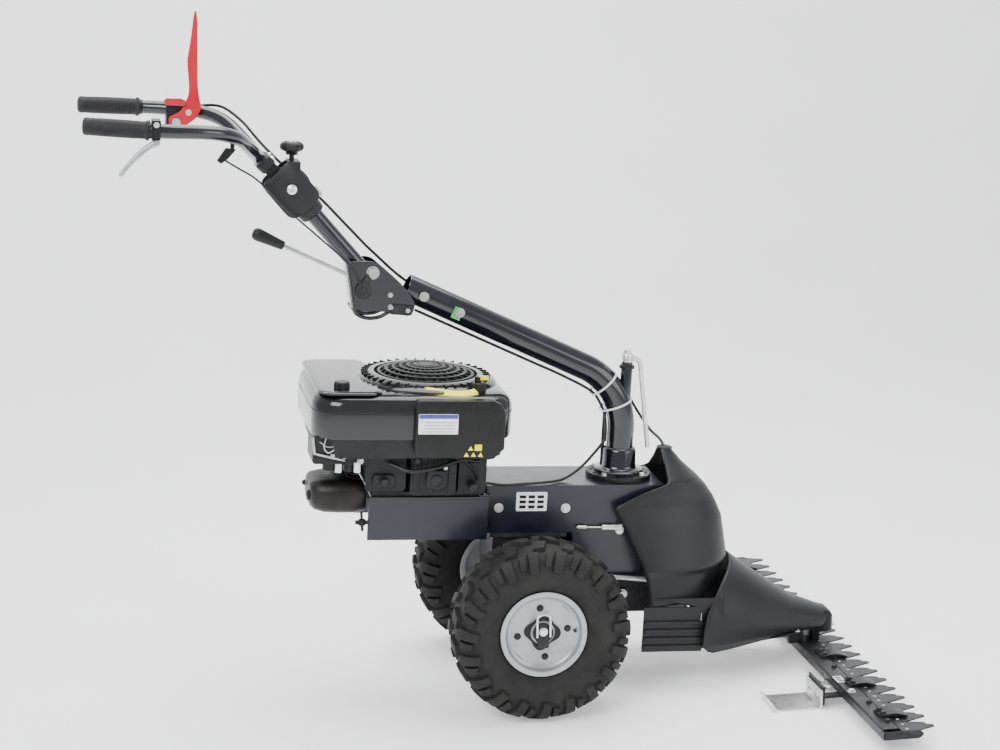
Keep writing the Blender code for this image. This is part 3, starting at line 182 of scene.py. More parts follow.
# %% [markdown]
# ## Finishes
# Real surfaces are never one flat colour. Each finish here mixes two close colours through
# noise, varies its roughness with the same noise, and adds a fine bump at the scale of its own
# grain. One function makes them all, and the numbers say what kind of surface it is.


# %% A function for finishes
def finish(name, colour, second, roughness, metallic=0.0, patch=14.0, grain=700.0, bump=0.08,
           spread=0.12, coat=0.0, specular=0.5, stretch=(1.0, 1.0, 1.0), spangle=0.0):
    made = bpy.data.materials.new(name)
    made.use_nodes = True
    nodes, links = made.node_tree.nodes, made.node_tree.links
    shader = nodes["Principled BSDF"]
    shader.inputs["Metallic"].default_value = metallic
    shader.inputs["Specular IOR Level"].default_value = specular
    if coat:
        shader.inputs["Coat Weight"].default_value = coat
        shader.inputs["Coat Roughness"].default_value = 0.12
    place = nodes.new("ShaderNodeTexCoord")
    scale = nodes.new("ShaderNodeMapping")
    scale.inputs["Scale"].default_value = stretch
    links.new(place.outputs["Object"], scale.inputs["Vector"])
    blotches = nodes.new("ShaderNodeTexNoise")
    blotches.inputs["Scale"].default_value = patch
    blotches.inputs["Detail"].default_value = 7.0
    blotches.inputs["Roughness"].default_value = 0.62
    links.new(scale.outputs["Vector"], blotches.inputs["Vector"])
    mask = blotches.outputs["Fac"]
    if spangle:
        flakes = nodes.new("ShaderNodeTexVoronoi")
        flakes.inputs["Scale"].default_value = spangle
        links.new(scale.outputs["Vector"], flakes.inputs["Vector"])
        both = nodes.new("ShaderNodeMath")
        both.operation = "MULTIPLY_ADD"
        both.inputs[1].default_value = 0.35
        links.new(flakes.outputs["Distance"], both.inputs[0])
        links.new(mask, both.inputs[2])
        mask = both.outputs["Value"]
    ramp = nodes.new("ShaderNodeValToRGB")
    ramp.color_ramp.elements[0].position = 0.36
    ramp.color_ramp.elements[0].color = (*colour, 1.0)
    ramp.color_ramp.elements[1].position = 0.68
    ramp.color_ramp.elements[1].color = (*second, 1.0)
    links.new(mask, ramp.inputs["Fac"])
    links.new(ramp.outputs["Color"], shader.inputs["Base Color"])
    gloss = nodes.new("ShaderNodeMapRange")
    gloss.inputs["From Min"].default_value = 0.3
    gloss.inputs["From Max"].default_value = 0.7
    gloss.inputs["To Min"].default_value = max(0.04, roughness - spread / 2)
    gloss.inputs["To Max"].default_value = min(1.0, roughness + spread / 2)
    links.new(mask, gloss.inputs["Value"])
    links.new(gloss.outputs["Result"], shader.inputs["Roughness"])
    if bump:
        tooth = nodes.new("ShaderNodeTexNoise")
        tooth.inputs["Scale"].default_value = grain
        tooth.inputs["Detail"].default_value = 3.0
        links.new(scale.outputs["Vector"], tooth.inputs["Vector"])
        relief = nodes.new("ShaderNodeBump")
        relief.inputs["Strength"].default_value = bump
        relief.inputs["Distance"].default_value = 0.001
        links.new(tooth.outputs["Fac"], relief.inputs["Height"])
        links.new(relief.outputs["Normal"], shader.inputs["Normal"])
    return made


# %% The machine's finishes
tube_paint = finish("tube_paint", (0.003, 0.003, 0.006), (0.006, 0.006, 0.011), 0.18, grain=160, bump=0.06,
                    coat=0.5, specular=0.4)
frame_paint = finish("frame_paint", (0.005, 0.005, 0.012), (0.009, 0.01, 0.019), 0.34, grain=220, bump=0.12,
                     coat=0.2, specular=0.4)
engine_plastic = finish("engine_plastic", (0.004, 0.004, 0.004), (0.009, 0.009, 0.009), 0.4, patch=22,
                        grain=900,
                        bump=0.1, specular=0.28)
gloss_plastic = finish("gloss_plastic", (0.004, 0.004, 0.005), (0.008, 0.008, 0.009), 0.16, patch=9,
                       grain=120,
                       bump=0.02, coat=0.35, specular=0.35)
moulded_plastic = finish("moulded_plastic", (0.006, 0.006, 0.007), (0.012, 0.012, 0.013), 0.44, patch=7,
                         grain=1100, bump=0.2, spread=0.16, specular=0.3)
tyre_rubber = finish("tyre_rubber", (0.006, 0.006, 0.006), (0.018, 0.017, 0.016), 0.72, patch=26, grain=420,
                     bump=0.3, specular=0.3)
grip_rubber = finish("grip_rubber", (0.006, 0.006, 0.007), (0.012, 0.012, 0.013), 0.58, patch=60,
                     grain=1400,
                     bump=0.15, specular=0.3)
cable_sheath = finish("cable_sheath", (0.004, 0.004, 0.004), (0.009, 0.009, 0.009), 0.38, patch=80,
                      grain=600,
                      bump=0.05, specular=0.35)
rim_silver = finish("rim_silver", (0.3, 0.31, 0.32), (0.4, 0.405, 0.415), 0.4, 0.55, patch=30, grain=500,
                    bump=0.12)
zinc_plate = finish("zinc_plate", (0.56, 0.56, 0.55), (0.7, 0.7, 0.69), 0.3, 1.0, patch=60, grain=260,
                    bump=0.05, spangle=90)
bare_steel = finish("bare_steel", (0.34, 0.34, 0.34), (0.5, 0.5, 0.49), 0.34, 1.0, patch=40, grain=900,
                    bump=0.1, stretch=(1.0, 6.0, 1.0))
lever_alloy = finish("lever_alloy", (0.34, 0.35, 0.37), (0.46, 0.47, 0.49), 0.42, 0.9, patch=50, grain=800,
                     bump=0.12)
cast_grey = finish("cast_grey", (0.018, 0.018, 0.02), (0.04, 0.04, 0.042), 0.56, 0.6, patch=35, grain=480,
                   bump=0.45, specular=0.35)
dark_steel = finish("dark_steel", (0.006, 0.006, 0.007), (0.015, 0.015, 0.016), 0.42, 0.3, patch=24,
                    grain=400,
                    bump=0.18, specular=0.35)
bar_paint = finish("bar_paint", (0.006, 0.006, 0.008), (0.022, 0.022, 0.025), 0.42, 0.4, patch=48,
                   grain=500,
                   bump=0.25, spread=0.2, specular=0.4)
knife_steel = finish("knife_steel", (0.012, 0.012, 0.014), (0.045, 0.045, 0.05), 0.4, 0.6, patch=70,
                     grain=700, bump=0.2, spread=0.2)
red_paint = finish("red_paint", (0.4, 0.002, 0.012), (0.5, 0.004, 0.018), 0.22, grain=180, bump=0.06,
                   coat=0.4)
muffler_black = finish("muffler_black", (0.005, 0.0045, 0.004), (0.013, 0.012, 0.01), 0.42, 0.3, patch=30,
                       grain=650, bump=0.3, specular=0.4)
label_white = finish("label_white", (0.74, 0.76, 0.8), (0.84, 0.85, 0.87), 0.35, patch=90, bump=0.0)
label_blue = finish("label_blue", (0.03, 0.04, 0.26), (0.05, 0.06, 0.33), 0.35, patch=90, bump=0.0)
label_yellow = finish("label_yellow", (0.82, 0.76, 0.0), (0.9, 0.84, 0.01), 0.38, patch=70, bump=0.0)
label_green = finish("label_green", (0.03, 0.42, 0.06), (0.05, 0.52, 0.09), 0.38, patch=70, bump=0.0)
clear_tie = finish("clear_tie", (0.62, 0.62, 0.6), (0.74, 0.74, 0.72), 0.35, patch=90, bump=0.0)
print("finishes:", len(bpy.data.materials))

# %% [markdown]
# ## Shapes
# Nearly every piece is one of four things: a profile turned on an axis, an outline given a
# thickness, a row of rings joined into a skin, or a tube swept along a path. The sharp edges
# are then rounded by a small bevel, because a real edge always catches a thin line of light.


# %% Four ways to make a shape
def skin(rings, closed_ends=True):
    shape = bmesh.new()
    loops = [[shape.verts.new(point) for point in ring] for ring in rings]
    count = len(loops[0])
    for lower, upper in zip(loops, loops[1:]):
        for i in range(count):
            j = (i + 1) % count
            shape.faces.new((lower[i], lower[j], upper[j], upper[i]))
    if closed_ends:
        shape.faces.new(reversed(loops[0]))
        shape.faces.new(loops[-1])
    return shape


def plate(outline, low, high, plane="XZ"):
    orders = {"XZ": lambda a, b, c: (a, c, b), "XY": lambda a, b, c: (a, b, c),
              "YZ": lambda a, b, c: (c, a, b)}
    lift = orders[plane]
    return skin([[lift(a, b, level) for a, b in outline] for level in (low, high)])


def strip_of(low, high, near, far):
    """A flat rectangle that stands upright, from one corner to the other."""
    (x0, z0), (x1, z1) = low, high
    return plate([(x0, z0), (x1, z0), (x1, z1), (x0, z1)], near, far)


def disc(radius, height, steps=24):
    return lathe([(0, 0), (radius, 0), (radius, height), (0, height)], steps)


def block(low, high):
    (x0, y0, z0), (x1, y1, z1) = low, high
    return plate([(x0, y0), (x1, y0), (x1, y1), (x0, y1)], z0, z1, "XY")


def lathe(profile, steps=64, axis="Z"):
    shape = bmesh.new()
    order = {"Z": (0, 1, 2), "Y": (1, 2, 0), "X": (2, 0, 1)}[axis]
    rings = []
    for radius, height in profile:
        ring = []
        for i in range(steps if radius > 0 else 1):
            angle = 2 * math.pi * i / steps
            flat = (radius * math.cos(angle), radius * math.sin(angle), height)
            ring.append(shape.verts.new([flat[k] for k in order]))
        rings.append(ring)
    for first, second in zip(rings, rings[1:] + rings[:1]):
        for j in range(steps):
            corners = [first[j % len(first)], first[(j + 1) % len(first)]]
            corners += [second[(j + 1) % len(second)], second[j % len(second)]]
            unique = list(dict.fromkeys(corners))
            if len(unique) > 2:
                shape.faces.new(unique)
    return shape


def tube(path, radius, sides=20, bore=None):
    points = [Vector(point) for point in path]
    side = (points[1] - points[0]).orthogonal().normalized()
    outer, inner = [], []
    for i, point in enumerate(points):
        tangent = (points[min(i + 1, len(points) - 1)] - points[max(i - 1, 0)]).normalized()
        side = (side - tangent * side.dot(tangent)).normalized()
        up = tangent.cross(side)
        spokes = [side * math.cos(2 * math.pi * k / sides) + up * math.sin(2 * math.pi * k / sides)
                  for k in range(sides)]
        reach = radius[i] if isinstance(radius, (list, tuple)) else radius
        outer.append([point + spoke * reach for spoke in spokes])
        inner.append([point + spoke * (bore or 0) for spoke in spokes])
    if bore is None:
        return skin(outer)
    rings = outer + inner[::-1]
    return skin(rings + rings[:1], closed_ends=False)


def smooth_route(points, per_span=8):
    knots = [Vector(point) for point in points]
    knots = [2 * knots[0] - knots[1]] + knots + [2 * knots[-1] - knots[-2]]
    route = []
    for a, b, c, d in zip(knots, knots[1:], knots[2:], knots[3:]):
        for step in range(per_span):
            t = step / per_span
            route.append(0.5 * (2 * b + (c - a) * t + (2 * a - 5 * b + 4 * c - d) * t**2
                                + (3 * b - a - 3 * c + d) * t**3))
    return route + [knots[-2]]


def rounded(low, high, radius, steps=6):
    corners = ((high[0] - radius, high[1] - radius, 0), (low[0] + radius, high[1] - radius, 90),
               (low[0] + radius, low[1] + radius, 180), (high[0] - radius, low[1] + radius, 270))
    return [(x + radius * math.cos(math.radians(start + 90 * i / steps)),
             y + radius * math.sin(math.radians(start + 90 * i / steps)))
            for x, y, start in corners for i in range(steps + 1)]


def merge(target, *others):
    """Adds other shapes to a shape, and frees them."""
    for other in others:
        spare = bpy.data.meshes.new("spare")
        other.to_mesh(spare)
        other.free()
        target.from_mesh(spare)
        bpy.data.meshes.remove(spare)
    return target


def span(side, near, far):
    """The low and the high of a stretch that is mirrored when side is -1."""
    return sorted((side * near, side * far))


def turned_round(target, shape_of, number):
    """Adds a number of equal pieces, each turned on by one step round the upright axis."""
    for k in range(number):
        merge(target, moved(shape_of(), turn=Matrix.Rotation(2 * math.pi * k / number, 4, "Z")))


def join_rows(shape, grid):
    """Fills the strips between the rows of a grid of points."""
    for lower, upper in zip(grid, grid[1:]):
        for j in range(len(lower) - 1):
            shape.faces.new((lower[j], lower[j + 1], upper[j + 1], upper[j]))


def moved(shape, at=(0, 0, 0), turn=None):
    matrix = Matrix.Translation(at)
    if turn is not None:
        matrix = matrix @ turn
    shape.transform(matrix)
    return shape


def aim(direction, axis="Z"):
    up = "Y" if axis == "Z" else "Z"
    return Vector(direction).to_track_quat(axis, up).to_matrix().to_4x4()


# %% [markdown]
# ## Setting a piece in its place
# A shape becomes a piece when it has a finish, a body to ride on, and the solid it stands for.
# One function does all of that, so no piece can be left behind when the machine moves.


# %% A function that sets pieces
count = {"pieces": 0}


def add(name, shape, material, body, slot, place=CHASSIS, stands_for=(), bevel=0.0, sharp=35,
        thick=0.0, ride=True):
    bmesh.ops.recalc_face_normals(shape, faces=shape.faces)
    shape.transform(place)
    mesh = bpy.data.meshes.new(name)
    shape.to_mesh(mesh)
    shape.free()
    mesh.shade_smooth()
    mesh.set_sharp_from_angle(angle=math.radians(sharp))
    mesh.materials.append(material)
    made = bpy.data.objects.new(name, mesh)
    bpy.context.collection.objects.link(made)
    if thick:
        wall = made.modifiers.new("wall", "SOLIDIFY")
        wall.thickness = thick
        wall.offset = -1.0
    if bevel:
        edge = made.modifiers.new("edge", "BEVEL")
        edge.width = bevel
        edge.segments = 2
        edge.limit_method = "ANGLE"
        edge.angle_limit = math.radians(sharp)
    if ride:
        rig.ride(made, body)
    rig.slot(made, slot)
    if stands_for:
        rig.replaces(made, *stands_for)
    count["pieces"] += 1
    return made


def dress(node, material, bevel=0.0006):
    """Gives a solid of the frame its finish, smooth shading and a small rounded edge."""
    kept = frame["nodes"][node]
    kept.data.materials.clear()
    kept.data.materials.append(material)
    kept.data.shade_smooth()
    kept.data.set_sharp_from_angle(angle=math.radians(32))
    if bevel:
        edge = kept.modifiers.new("edge", "BEVEL")
        edge.width = bevel
        edge.segments = 2
        edge.limit_method = "ANGLE"
        edge.angle_limit = math.radians(40)


def hex_bolt(radius, height, at, direction, washer=1.3):
    """A hexagon head on a round washer, looking along a direction."""
    outline = [(radius * math.cos(math.pi * k / 3), radius * math.sin(math.pi * k / 3))
               for k in range(6)]
    head = plate(outline, height * 0.25, height, "XY")
    ring = lathe([(0, 0), (radius * washer, 0), (radius * washer, height * 0.28),
                  (0, height * 0.28)], 24)
    return moved(merge(head, ring), at, aim(direction))


# %% [markdown]
# ## Solids that keep their shape
# Many solids of the frame are already right: plain castings, shafts, plates and blocks. They
# only need a finish and a softened edge. The ones that need more detail are built further on.

# %% Dress the plain solids
for node, material in {
    "axle_shaft": bare_steel, "transmission_case": cast_grey, "front_gearbox": cast_grey,
    "drive_belt": cable_sheath, "crankshaft_pulley": bare_steel, "driven_pulley": bare_steel,
    "tensioner_arm": bare_steel, "bar_carrier": cast_grey, "drive_arm": bare_steel,
    "engine_deck": frame_paint, "frame_shell": frame_paint, "clutch_bracket": engine_plastic,
    "drive_lever_bracket": engine_plastic, "reverse_lever": engine_plastic,
    "bar_beam": bar_paint, "crankcase": cast_grey,
}.items():
    dress(node, material, 0.0012 if node in ("frame_shell", "engine_deck") else 0.0006)
print("dressed solids ready")

# %% [markdown]
# ## Tyres with a deep tread
# The tyres are small and wide, with big rubber blocks set in a V so that they dig in and clean
# themselves. The carcass is a turned profile. Each block is a patch that follows the carcass
# from the middle over the shoulder and stands 8 mm proud. Laying the patch on the profile by
# angle and by distance across keeps every block seated on the round surface.

# %% Tyres
TRACK = (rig.box("tyre_left")[0].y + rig.box("tyre_left")[1].y) / 2
TREAD = 0.0085
TREAD_LIMIT = 0.1802
BEAD_RADIUS = 0.0775
TREAD_PITCHES = 19
CROWN = ((0.0885, 0.0405), (0.098, 0.052), (0.112, 0.0605), (0.13, 0.064), (0.148, 0.0625),
         (0.16, 0.056), (0.1675, 0.044), (0.1705, 0.028), (0.1715, 0.012), (0.1718, 0.0))


def across_tyre(share):
    """A point of the tyre's profile: share 0 is the middle of the tread, 1 the rim's edge."""
    rows = CROWN[::-1]
    spot = abs(share) * (len(rows) - 1)
    i = min(int(spot), len(rows) - 2)
    t = spot - i
    radius = rows[i][0] + (rows[i + 1][0] - rows[i][0]) * t
    y = rows[i][1] + (rows[i + 1][1] - rows[i][1]) * t
    return radius, math.copysign(y, share)


def tread_block(shape, corners, lift):
    """A rubber block between four (angle, share) corners, tapering as it rises."""
    steps_a, steps_s = 2, 5
    layers = []
    for rise, inset in ((-0.0015, 0.0), (lift, 0.1)):
        rows = []
        for i in range(steps_s + 1):
            row = []
            for j in range(steps_a + 1):
                u = inset + (1 - 2 * inset) * j / steps_a
                v = inset * 0.6 + (1 - 1.2 * inset) * i / steps_s
                low = [a + (b - a) * u for a, b in zip(corners[0], corners[1])]
                high = [a + (b - a) * u for a, b in zip(corners[3], corners[2])]
                angle, share = [a + (b - a) * v for a, b in zip(low, high)]
                radius, y = across_tyre(share)
                near_r, near_y = across_tyre(share + 0.02 * (1 if share >= 0 else -1))
                slope = Vector((near_r - radius, near_y - y)).normalized()
                out = Vector((abs(slope.y), -slope.x * (1 if share >= 0 else -1)))
                sign = 1 if share >= 0 else -1
                r = radius + out.x * rise
                yy = y + abs(out.y) * sign * rise
                r = min(r, TREAD_LIMIT)
                row.append(shape.verts.new((r * math.cos(angle), yy, r * math.sin(angle))))
            rows.append(row)
        layers.append(rows)
    for rows in layers:
        join_rows(shape, rows)
    rim = []
    for rows in layers:
        loop = rows[0] + [row[-1] for row in rows[1:-1]] + rows[-1][::-1]
        loop += [row[0] for row in rows[-2:0:-1]]
        rim.append(loop)
    for k in range(len(rim[0])):
        n = (k + 1) % len(rim[0])
        shape.faces.new((rim[0][k], rim[0][n], rim[1][n], rim[1][k]))


def tyre_shape():
    outer = list(CROWN) + [(r, -y) for r, y in CROWN[-2::-1]]
    inner = [(r - 0.007 if r > 0.1 else r, y * 0.86) for r, y in reversed(outer)]
    inner[0] = (BEAD_RADIUS, inner[0][1])
    inner[-1] = (BEAD_RADIUS, inner[-1][1])
    profile = [(BEAD_RADIUS, outer[0][1])] + outer + [(BEAD_RADIUS, outer[-1][1])] + inner
    shape = lathe(profile, 96, "Y")
    step = 2 * math.pi / TREAD_PITCHES
    for k in range(TREAD_PITCHES):
        for side in (1, -1):
            base = k * step + (0 if side > 0 else step / 2)
            tread_block(shape, ((base, side * 0.02), (base + step * 0.4, side * 0.02),
                                (base + step * 0.66, side * 0.3), (base + step * 0.2, side * 0.3)),
                        TREAD)
            tread_block(shape, ((base + step * 0.42, side * 0.33), (base + step * 0.88, side * 0.31),
                                (base + step * 1.02, side * 0.64), (base + step * 0.6, side * 0.66)),
                        TREAD * 0.94)
            tread_block(shape, ((base - step * 0.06, side * 0.36), (base + step * 0.22, side * 0.36),
                                (base + step * 0.34, side * 0.56), (base + step * 0.06, side * 0.58)),
                        TREAD * 0.8)
    return shape


for label, side in (("left", 1), ("right", -1)):
    hub = Matrix.Translation((AXLE.x, side * TRACK, AXLE.z))
    add(f"treaded_tyre_{label}", tyre_shape(), tyre_rubber, f"{label}_wheel", "tyre", hub,
        [f"tyre_{label}"], sharp=40)
print("tyres done")

# %% [markdown]
# ## Wheels
# The rims are pressed steel: a rolled edge, a drop centre, and a dished disc with four small
# bolts round a lobed dark hub plate. A spring latch with a U-shaped bail locks each wheel to
# the axle. Turning a profile gives the rim, and bolts and bosses are set on it afterwards, as
# they are on the real one.

# %% Rims, hubs and latches
RIM = ((0.0128, -0.03), (0.024, -0.03), (0.024, 0.0235), (0.0725, 0.0235), (0.0725, -0.034),
       (0.0765, -0.0455),
       (0.0865, -0.0455), (0.0876, -0.044), (0.0868, -0.0425), (0.079, -0.042), (0.0757, -0.036),
       (0.0757, 0.036), (0.079, 0.042), (0.0868, 0.0425), (0.0876, 0.044), (0.0865, 0.0455),
       (0.0775, 0.0455),
       (0.0752, 0.0425), (0.0742, 0.035), (0.0705, 0.0315), (0.066, 0.03), (0.04, 0.03), (0.034, 0.028),
       (0.024, 0.0275), (0.024, 0.0325), (0.0128, 0.0325))
BOLT_RING = 0.0505
DISC_FACE = 0.0298
LATCH_FACE = 0.0345
BAIL_DEPTH = 0.043
LOBE_RADIUS, LOBE_DEPTH, LOBE_TURN = 0.033, 0.0045, 0.6


def wheel_bolts(side):
    shape = bmesh.new()
    for k in range(4):
        angle = k * math.pi / 2 + 0.1
        spot = (BOLT_RING * math.cos(angle), side * DISC_FACE, BOLT_RING * math.sin(angle))
        merge(shape, hex_bolt(0.0042, 0.0048, spot, (0, side, 0), 1.7))
    return shape


def hub_plate_and_slot_shade(side):
    """A dark casting with four lobes in the opening of the disc, and two thin dark strips by the rim: painted shade
    standing for two narrow slots.
    """
    outline = []
    for k in range(64):
        t = 2 * math.pi * k / 64
        reach = LOBE_RADIUS + LOBE_DEPTH * math.cos(4 * t + LOBE_TURN)
        outline.append((reach * math.cos(t), reach * math.sin(t)))
    low, high = span(side, 0.0275, 0.0303)
    shape = plate(outline, low, high, "XZ")
    # The two slots are not cut: each is a thin dark strip laid proud of the disc, painted shade where a slot's opening
    # would be.
    low, high = span(side, 0.0298, 0.0303)
    for angle in (math.pi / 4, math.pi * 5 / 4):
        strip = plate([(-0.015, 0.0655), (0.015, 0.0655), (0.0135, 0.069), (-0.0135, 0.069)], low, high,
                      "XZ")
        merge(shape, moved(strip, turn=Matrix.Rotation(angle, 4, "Y")))
    return shape


for label, side in (("left", 1), ("right", -1)):
    hub = Matrix.Translation((AXLE.x, side * TRACK, AXLE.z))
    add(f"rim_{label}", lathe([(r, side * y) for r, y in RIM], 72, "Y"), rim_silver, f"{label}_wheel",
        "rim", hub,
        [f"wheel_{label}"], bevel=0.0005)
    add(f"rim_bolts_{label}", wheel_bolts(side), cast_grey, f"{label}_wheel", "rim", hub, bevel=0.0003)
    add(f"hub_plate_and_slot_shade_{label}", hub_plate_and_slot_shade(side), dark_steel, f"{label}_wheel", "dark_steel", hub,
        bevel=0.0005)
    valve = tube([(0.064, side * 0.028, 0.0), (0.0655, side * 0.038, 0.0)], 0.0028, 12)
    add(f"valve_{label}", valve, cable_sheath, f"{label}_wheel", "tyre", hub)
    boss = lathe([(0, side * LATCH_FACE), (0.0205, side * LATCH_FACE), (0.0205, side * 0.039),
                  (0.018, side * 0.0405), (0, side * 0.0405)], 40, "Y")
    low, high = span(side, LATCH_FACE, 0.04)
    merge(boss, plate([(-0.011, -0.03), (0.011, -0.03), (0.011, 0.0), (-0.011, 0.0)], low, high))
    add(f"hub_latch_boss_{label}", boss, cast_grey, f"{label}_hub_latch", "dark_steel", hub,
        [f"hub_latch_{label}"], bevel=0.0008)
    bail = [(-0.013, -0.006), (-0.013, 0.029), (-0.01, 0.037), (0.0, 0.0405), (0.01, 0.037), (0.013, 0.029),
            (0.013, -0.006)]
    wire = tube(smooth_route([(x, side * BAIL_DEPTH, z) for x, z in bail], 5), 0.0024, 14)
    merge(wire, hex_bolt(0.0072, 0.004, (0, side * 0.04, 0.004), (0, side, 0), 1.2))
    add(f"hub_latch_wire_{label}", wire, zinc_plate, f"{label}_hub_latch", "zinc", hub, bevel=0.0003)
print("wheels done")

# %% [markdown]
# ## Frame furniture
# The folded frame carries zinc bolts, a small data plate and a spring-loaded adjuster with its
# thin rod. They are tiny, but they tell the eye how big the plain painted panels are.

# %% Bolts, plate, adjuster and rods
side_bolts = bmesh.new()
for x, z in ((-0.064, 0.2055), (0.0744, 0.204)):
    for side in (-1, 1):
        merge(side_bolts, hex_bolt(0.0075, 0.0075, (x, side * 0.075, z), (0, side, 0)))
add("side_bolts", side_bolts, zinc_plate, "chassis", "zinc", bevel=0.0004)
plate_shape = plate(rounded((-0.0285, 0.1985), (0.035, 0.238), 0.003), -0.0757, -0.0751)
add("data_plate", plate_shape, label_white, "chassis", "zinc")
marks = bmesh.new()
for row in range(3):
    for column in range(3):
        x, z = -0.022 + column * 0.0185, 0.204 + row * 0.0105
        merge(marks, plate(rounded((x, z), (x + 0.0135, z + 0.0065), 0.001, 2), -0.076, -0.0757))
add("data_plate_marks", marks, dark_steel, "chassis", "dark_steel")
adjuster = tube([(0.098, -0.083, 0.166), (0.15, -0.083, 0.1655)], 0.0016, 10)
merge(adjuster, tube([(0.15, -0.083, 0.1655), (0.186, -0.083, 0.165)], 0.0055, 16))
merge(adjuster, tube([(0.1, -0.083, 0.1662), (0.118, -0.083, 0.166)], 0.0034, 14))
merge(adjuster, hex_bolt(0.007, 0.007, (0.19, -0.077, 0.158), (0, -1, 0)))
merge(adjuster, block((0.186, -0.0862, 0.157), (0.194, -0.0752, 0.171)))
add("spring_adjuster", adjuster, zinc_plate, "chassis", "zinc", bevel=0.0003)
stay = tube([(0.16, -0.08, 0.061), (0.262, -0.096, 0.056)], 0.0055, 18)
merge(stay, hex_bolt(0.008, 0.007, (0.205, -0.0745, 0.02), (0, -1, 0)))
add("steering_stay", stay, bare_steel, "chassis", "bright_steel")
rear_lip = plate([(-0.333, 0.23), (-0.333, 0.236), (-0.1, 0.236), (-0.1, 0.23)], -0.1015, -0.0995)
merge(rear_lip, block((-0.112, -0.103, 0.2362), (-0.086, -0.085, 0.24)))
merge(rear_lip, plate([(-0.112, 0.2362), (-0.109, 0.2362), (-0.1, 0.276), (-0.112, 0.276)], -0.103, -0.1))
add("deck_edge", rear_lip, frame_paint, "chassis", "frame_paint", bevel=0.0008)
print("frame furniture done")

# %% [markdown]
# ## The engine
# It is a flat engine with an upright crank: a wide plastic shroud, a round grille over the fan,
# a filter cover on the right, a fuel cap, and a dark tangle of castings and linkages below. The
# shroud is a skin of rounded rings that widen and draw in, so its top rolls over like a moulding.
# The grille is a shallow dome cut into rings of slots between swept vanes, and the fan's disc
# lies on the shroud's closed top below it.

# %% Shroud and grille
FAN_X = -0.2124
shroud_rows = ((0.366, 0.006), (0.368, 0.0015), (0.374, 0.0), (0.42, 0.0), (0.434, 0.0012), (0.444, 0.0055),
               (0.45, 0.0125), (0.4535, 0.023), (0.455, 0.038))


def shroud_outline(inset):
    low = (-0.4545 + inset, -0.1648 + inset)
    high = (-0.0555 - inset, 0.1648 - inset)
    return rounded(low, high, 0.062 - inset * 0.7, 8)


def ring_stack(steps):
    return [[(x, y, z) for x, y in shroud_outline(inset)] for z, inset in steps]


top_steps = shroud_rows + ((0.4556, 0.06), (0.453, 0.06), (0.452, 0.038), (0.45, 0.025), (0.44, 0.009),
                           (0.43, 0.0035), (0.376, 0.003), (0.3665, 0.0075))
shell = ring_stack(top_steps)
shroud = skin(shell + shell[:1], closed_ends=False)
merge(shroud, skin(ring_stack(((0.4528, 0.058), (0.4556, 0.058)))))
add("shroud_shell", shroud, gloss_plastic, "chassis", "black_plastic", stands_for=["engine_shroud"],
    sharp=50)
lower_tray = ring_stack(((0.326, 0.024), (0.328, 0.016), (0.366, 0.012), (0.372, 0.01), (0.372, 0.013),
                         (0.328, 0.02), (0.326, 0.024)))
add("shroud_tray", skin(lower_tray, closed_ends=False), dark_steel, "chassis", "black_plastic", sharp=40)
crown = lathe([(0.104, 0.4535), (0.143, 0.4548), (0.139, 0.46), (0.124, 0.4655), (0.112, 0.469),
               (0.104, 0.469)], 72)
add("shroud_crown", moved(crown, (FAN_X, 0, 0)), gloss_plastic, "chassis", "black_plastic", sharp=50)
lid = []
for z, inset in ((0.4545, 0.0), (0.458, 0.0), (0.46, 0.003), (0.4605, 0.01)):
    lid.append([(x, y, z) for x,
                y in rounded((-0.446 + inset, -0.154 + inset), (-0.318 - inset, 0.154 - inset),
                                              0.03 - inset * 0.6, 6)])
add("tank_lid", skin(lid), gloss_plastic, "chassis", "black_plastic", sharp=40)
seam = skin(ring_stack(((0.418, -0.0003), (0.4215, -0.0003))))
add("shroud_seam", seam, engine_plastic, "chassis", "black_plastic", bevel=0.0004)


def grille_height(radius):
    return 0.485 - 0.0245 * (radius / 0.1155) ** 2.4


grille = bmesh.new()
for k in range(7):
    radius = 0.022 + k * 0.0145
    width = 0.003
    z = grille_height(radius)
    ring = lathe([(radius - width, z - 0.003), (radius + width, z - 0.0035),
                  (radius + width, z - 0.0005), (radius - width, z)], 72)
    merge(grille, ring)
for k in range(26):
    start = 2 * math.pi * k / 26
    rows = []
    for j in range(9):
        radius = 0.016 + (0.112 - 0.016) * j / 8
        angle = start + 0.62 * j / 8
        z = grille_height(radius) - 0.0012
        across = 0.0016
        direction = Vector((-math.sin(angle), math.cos(angle), 0))
        centre = Vector((radius * math.cos(angle), radius * math.sin(angle), 0))
        rows.append([centre + direction * across + Vector((0, 0, z)),
                     centre - direction * across + Vector((0, 0, z)),
                     centre - direction * across + Vector((0, 0, z - 0.005)),
                     centre + direction * across + Vector((0, 0, z - 0.005))])
    merge(grille, skin(rows))
merge(grille,
      lathe([(0, grille_height(0.0)), (0.016, grille_height(0.016)), (0.018, 0.479), (0, 0.479)], 40))
merge(grille, lathe([(0.109, 0.456), (0.1155, 0.4556), (0.1155, 0.464), (0.109, 0.468)], 72))
turned_round(grille, lambda: block((0.115, -0.0016, 0.458), (0.13, 0.0016, 0.469)), 40)
add("fan_grille", moved(grille, (FAN_X, 0, 0)), engine_plastic, "chassis", "black_plastic",
    stands_for=["cooling_grille"])
fan = lathe([(0, 0.4558), (0.108, 0.4558), (0.108, 0.4566), (0, 0.458)], 48)
turned_round(fan, lambda: block((0.045, -0.0012, 0.456), (0.1, 0.0012, 0.461)), 18)
add("fan", moved(fan, (FAN_X, 0, 0)), dark_steel, "chassis", "dark_steel")
print("shroud and grille done")

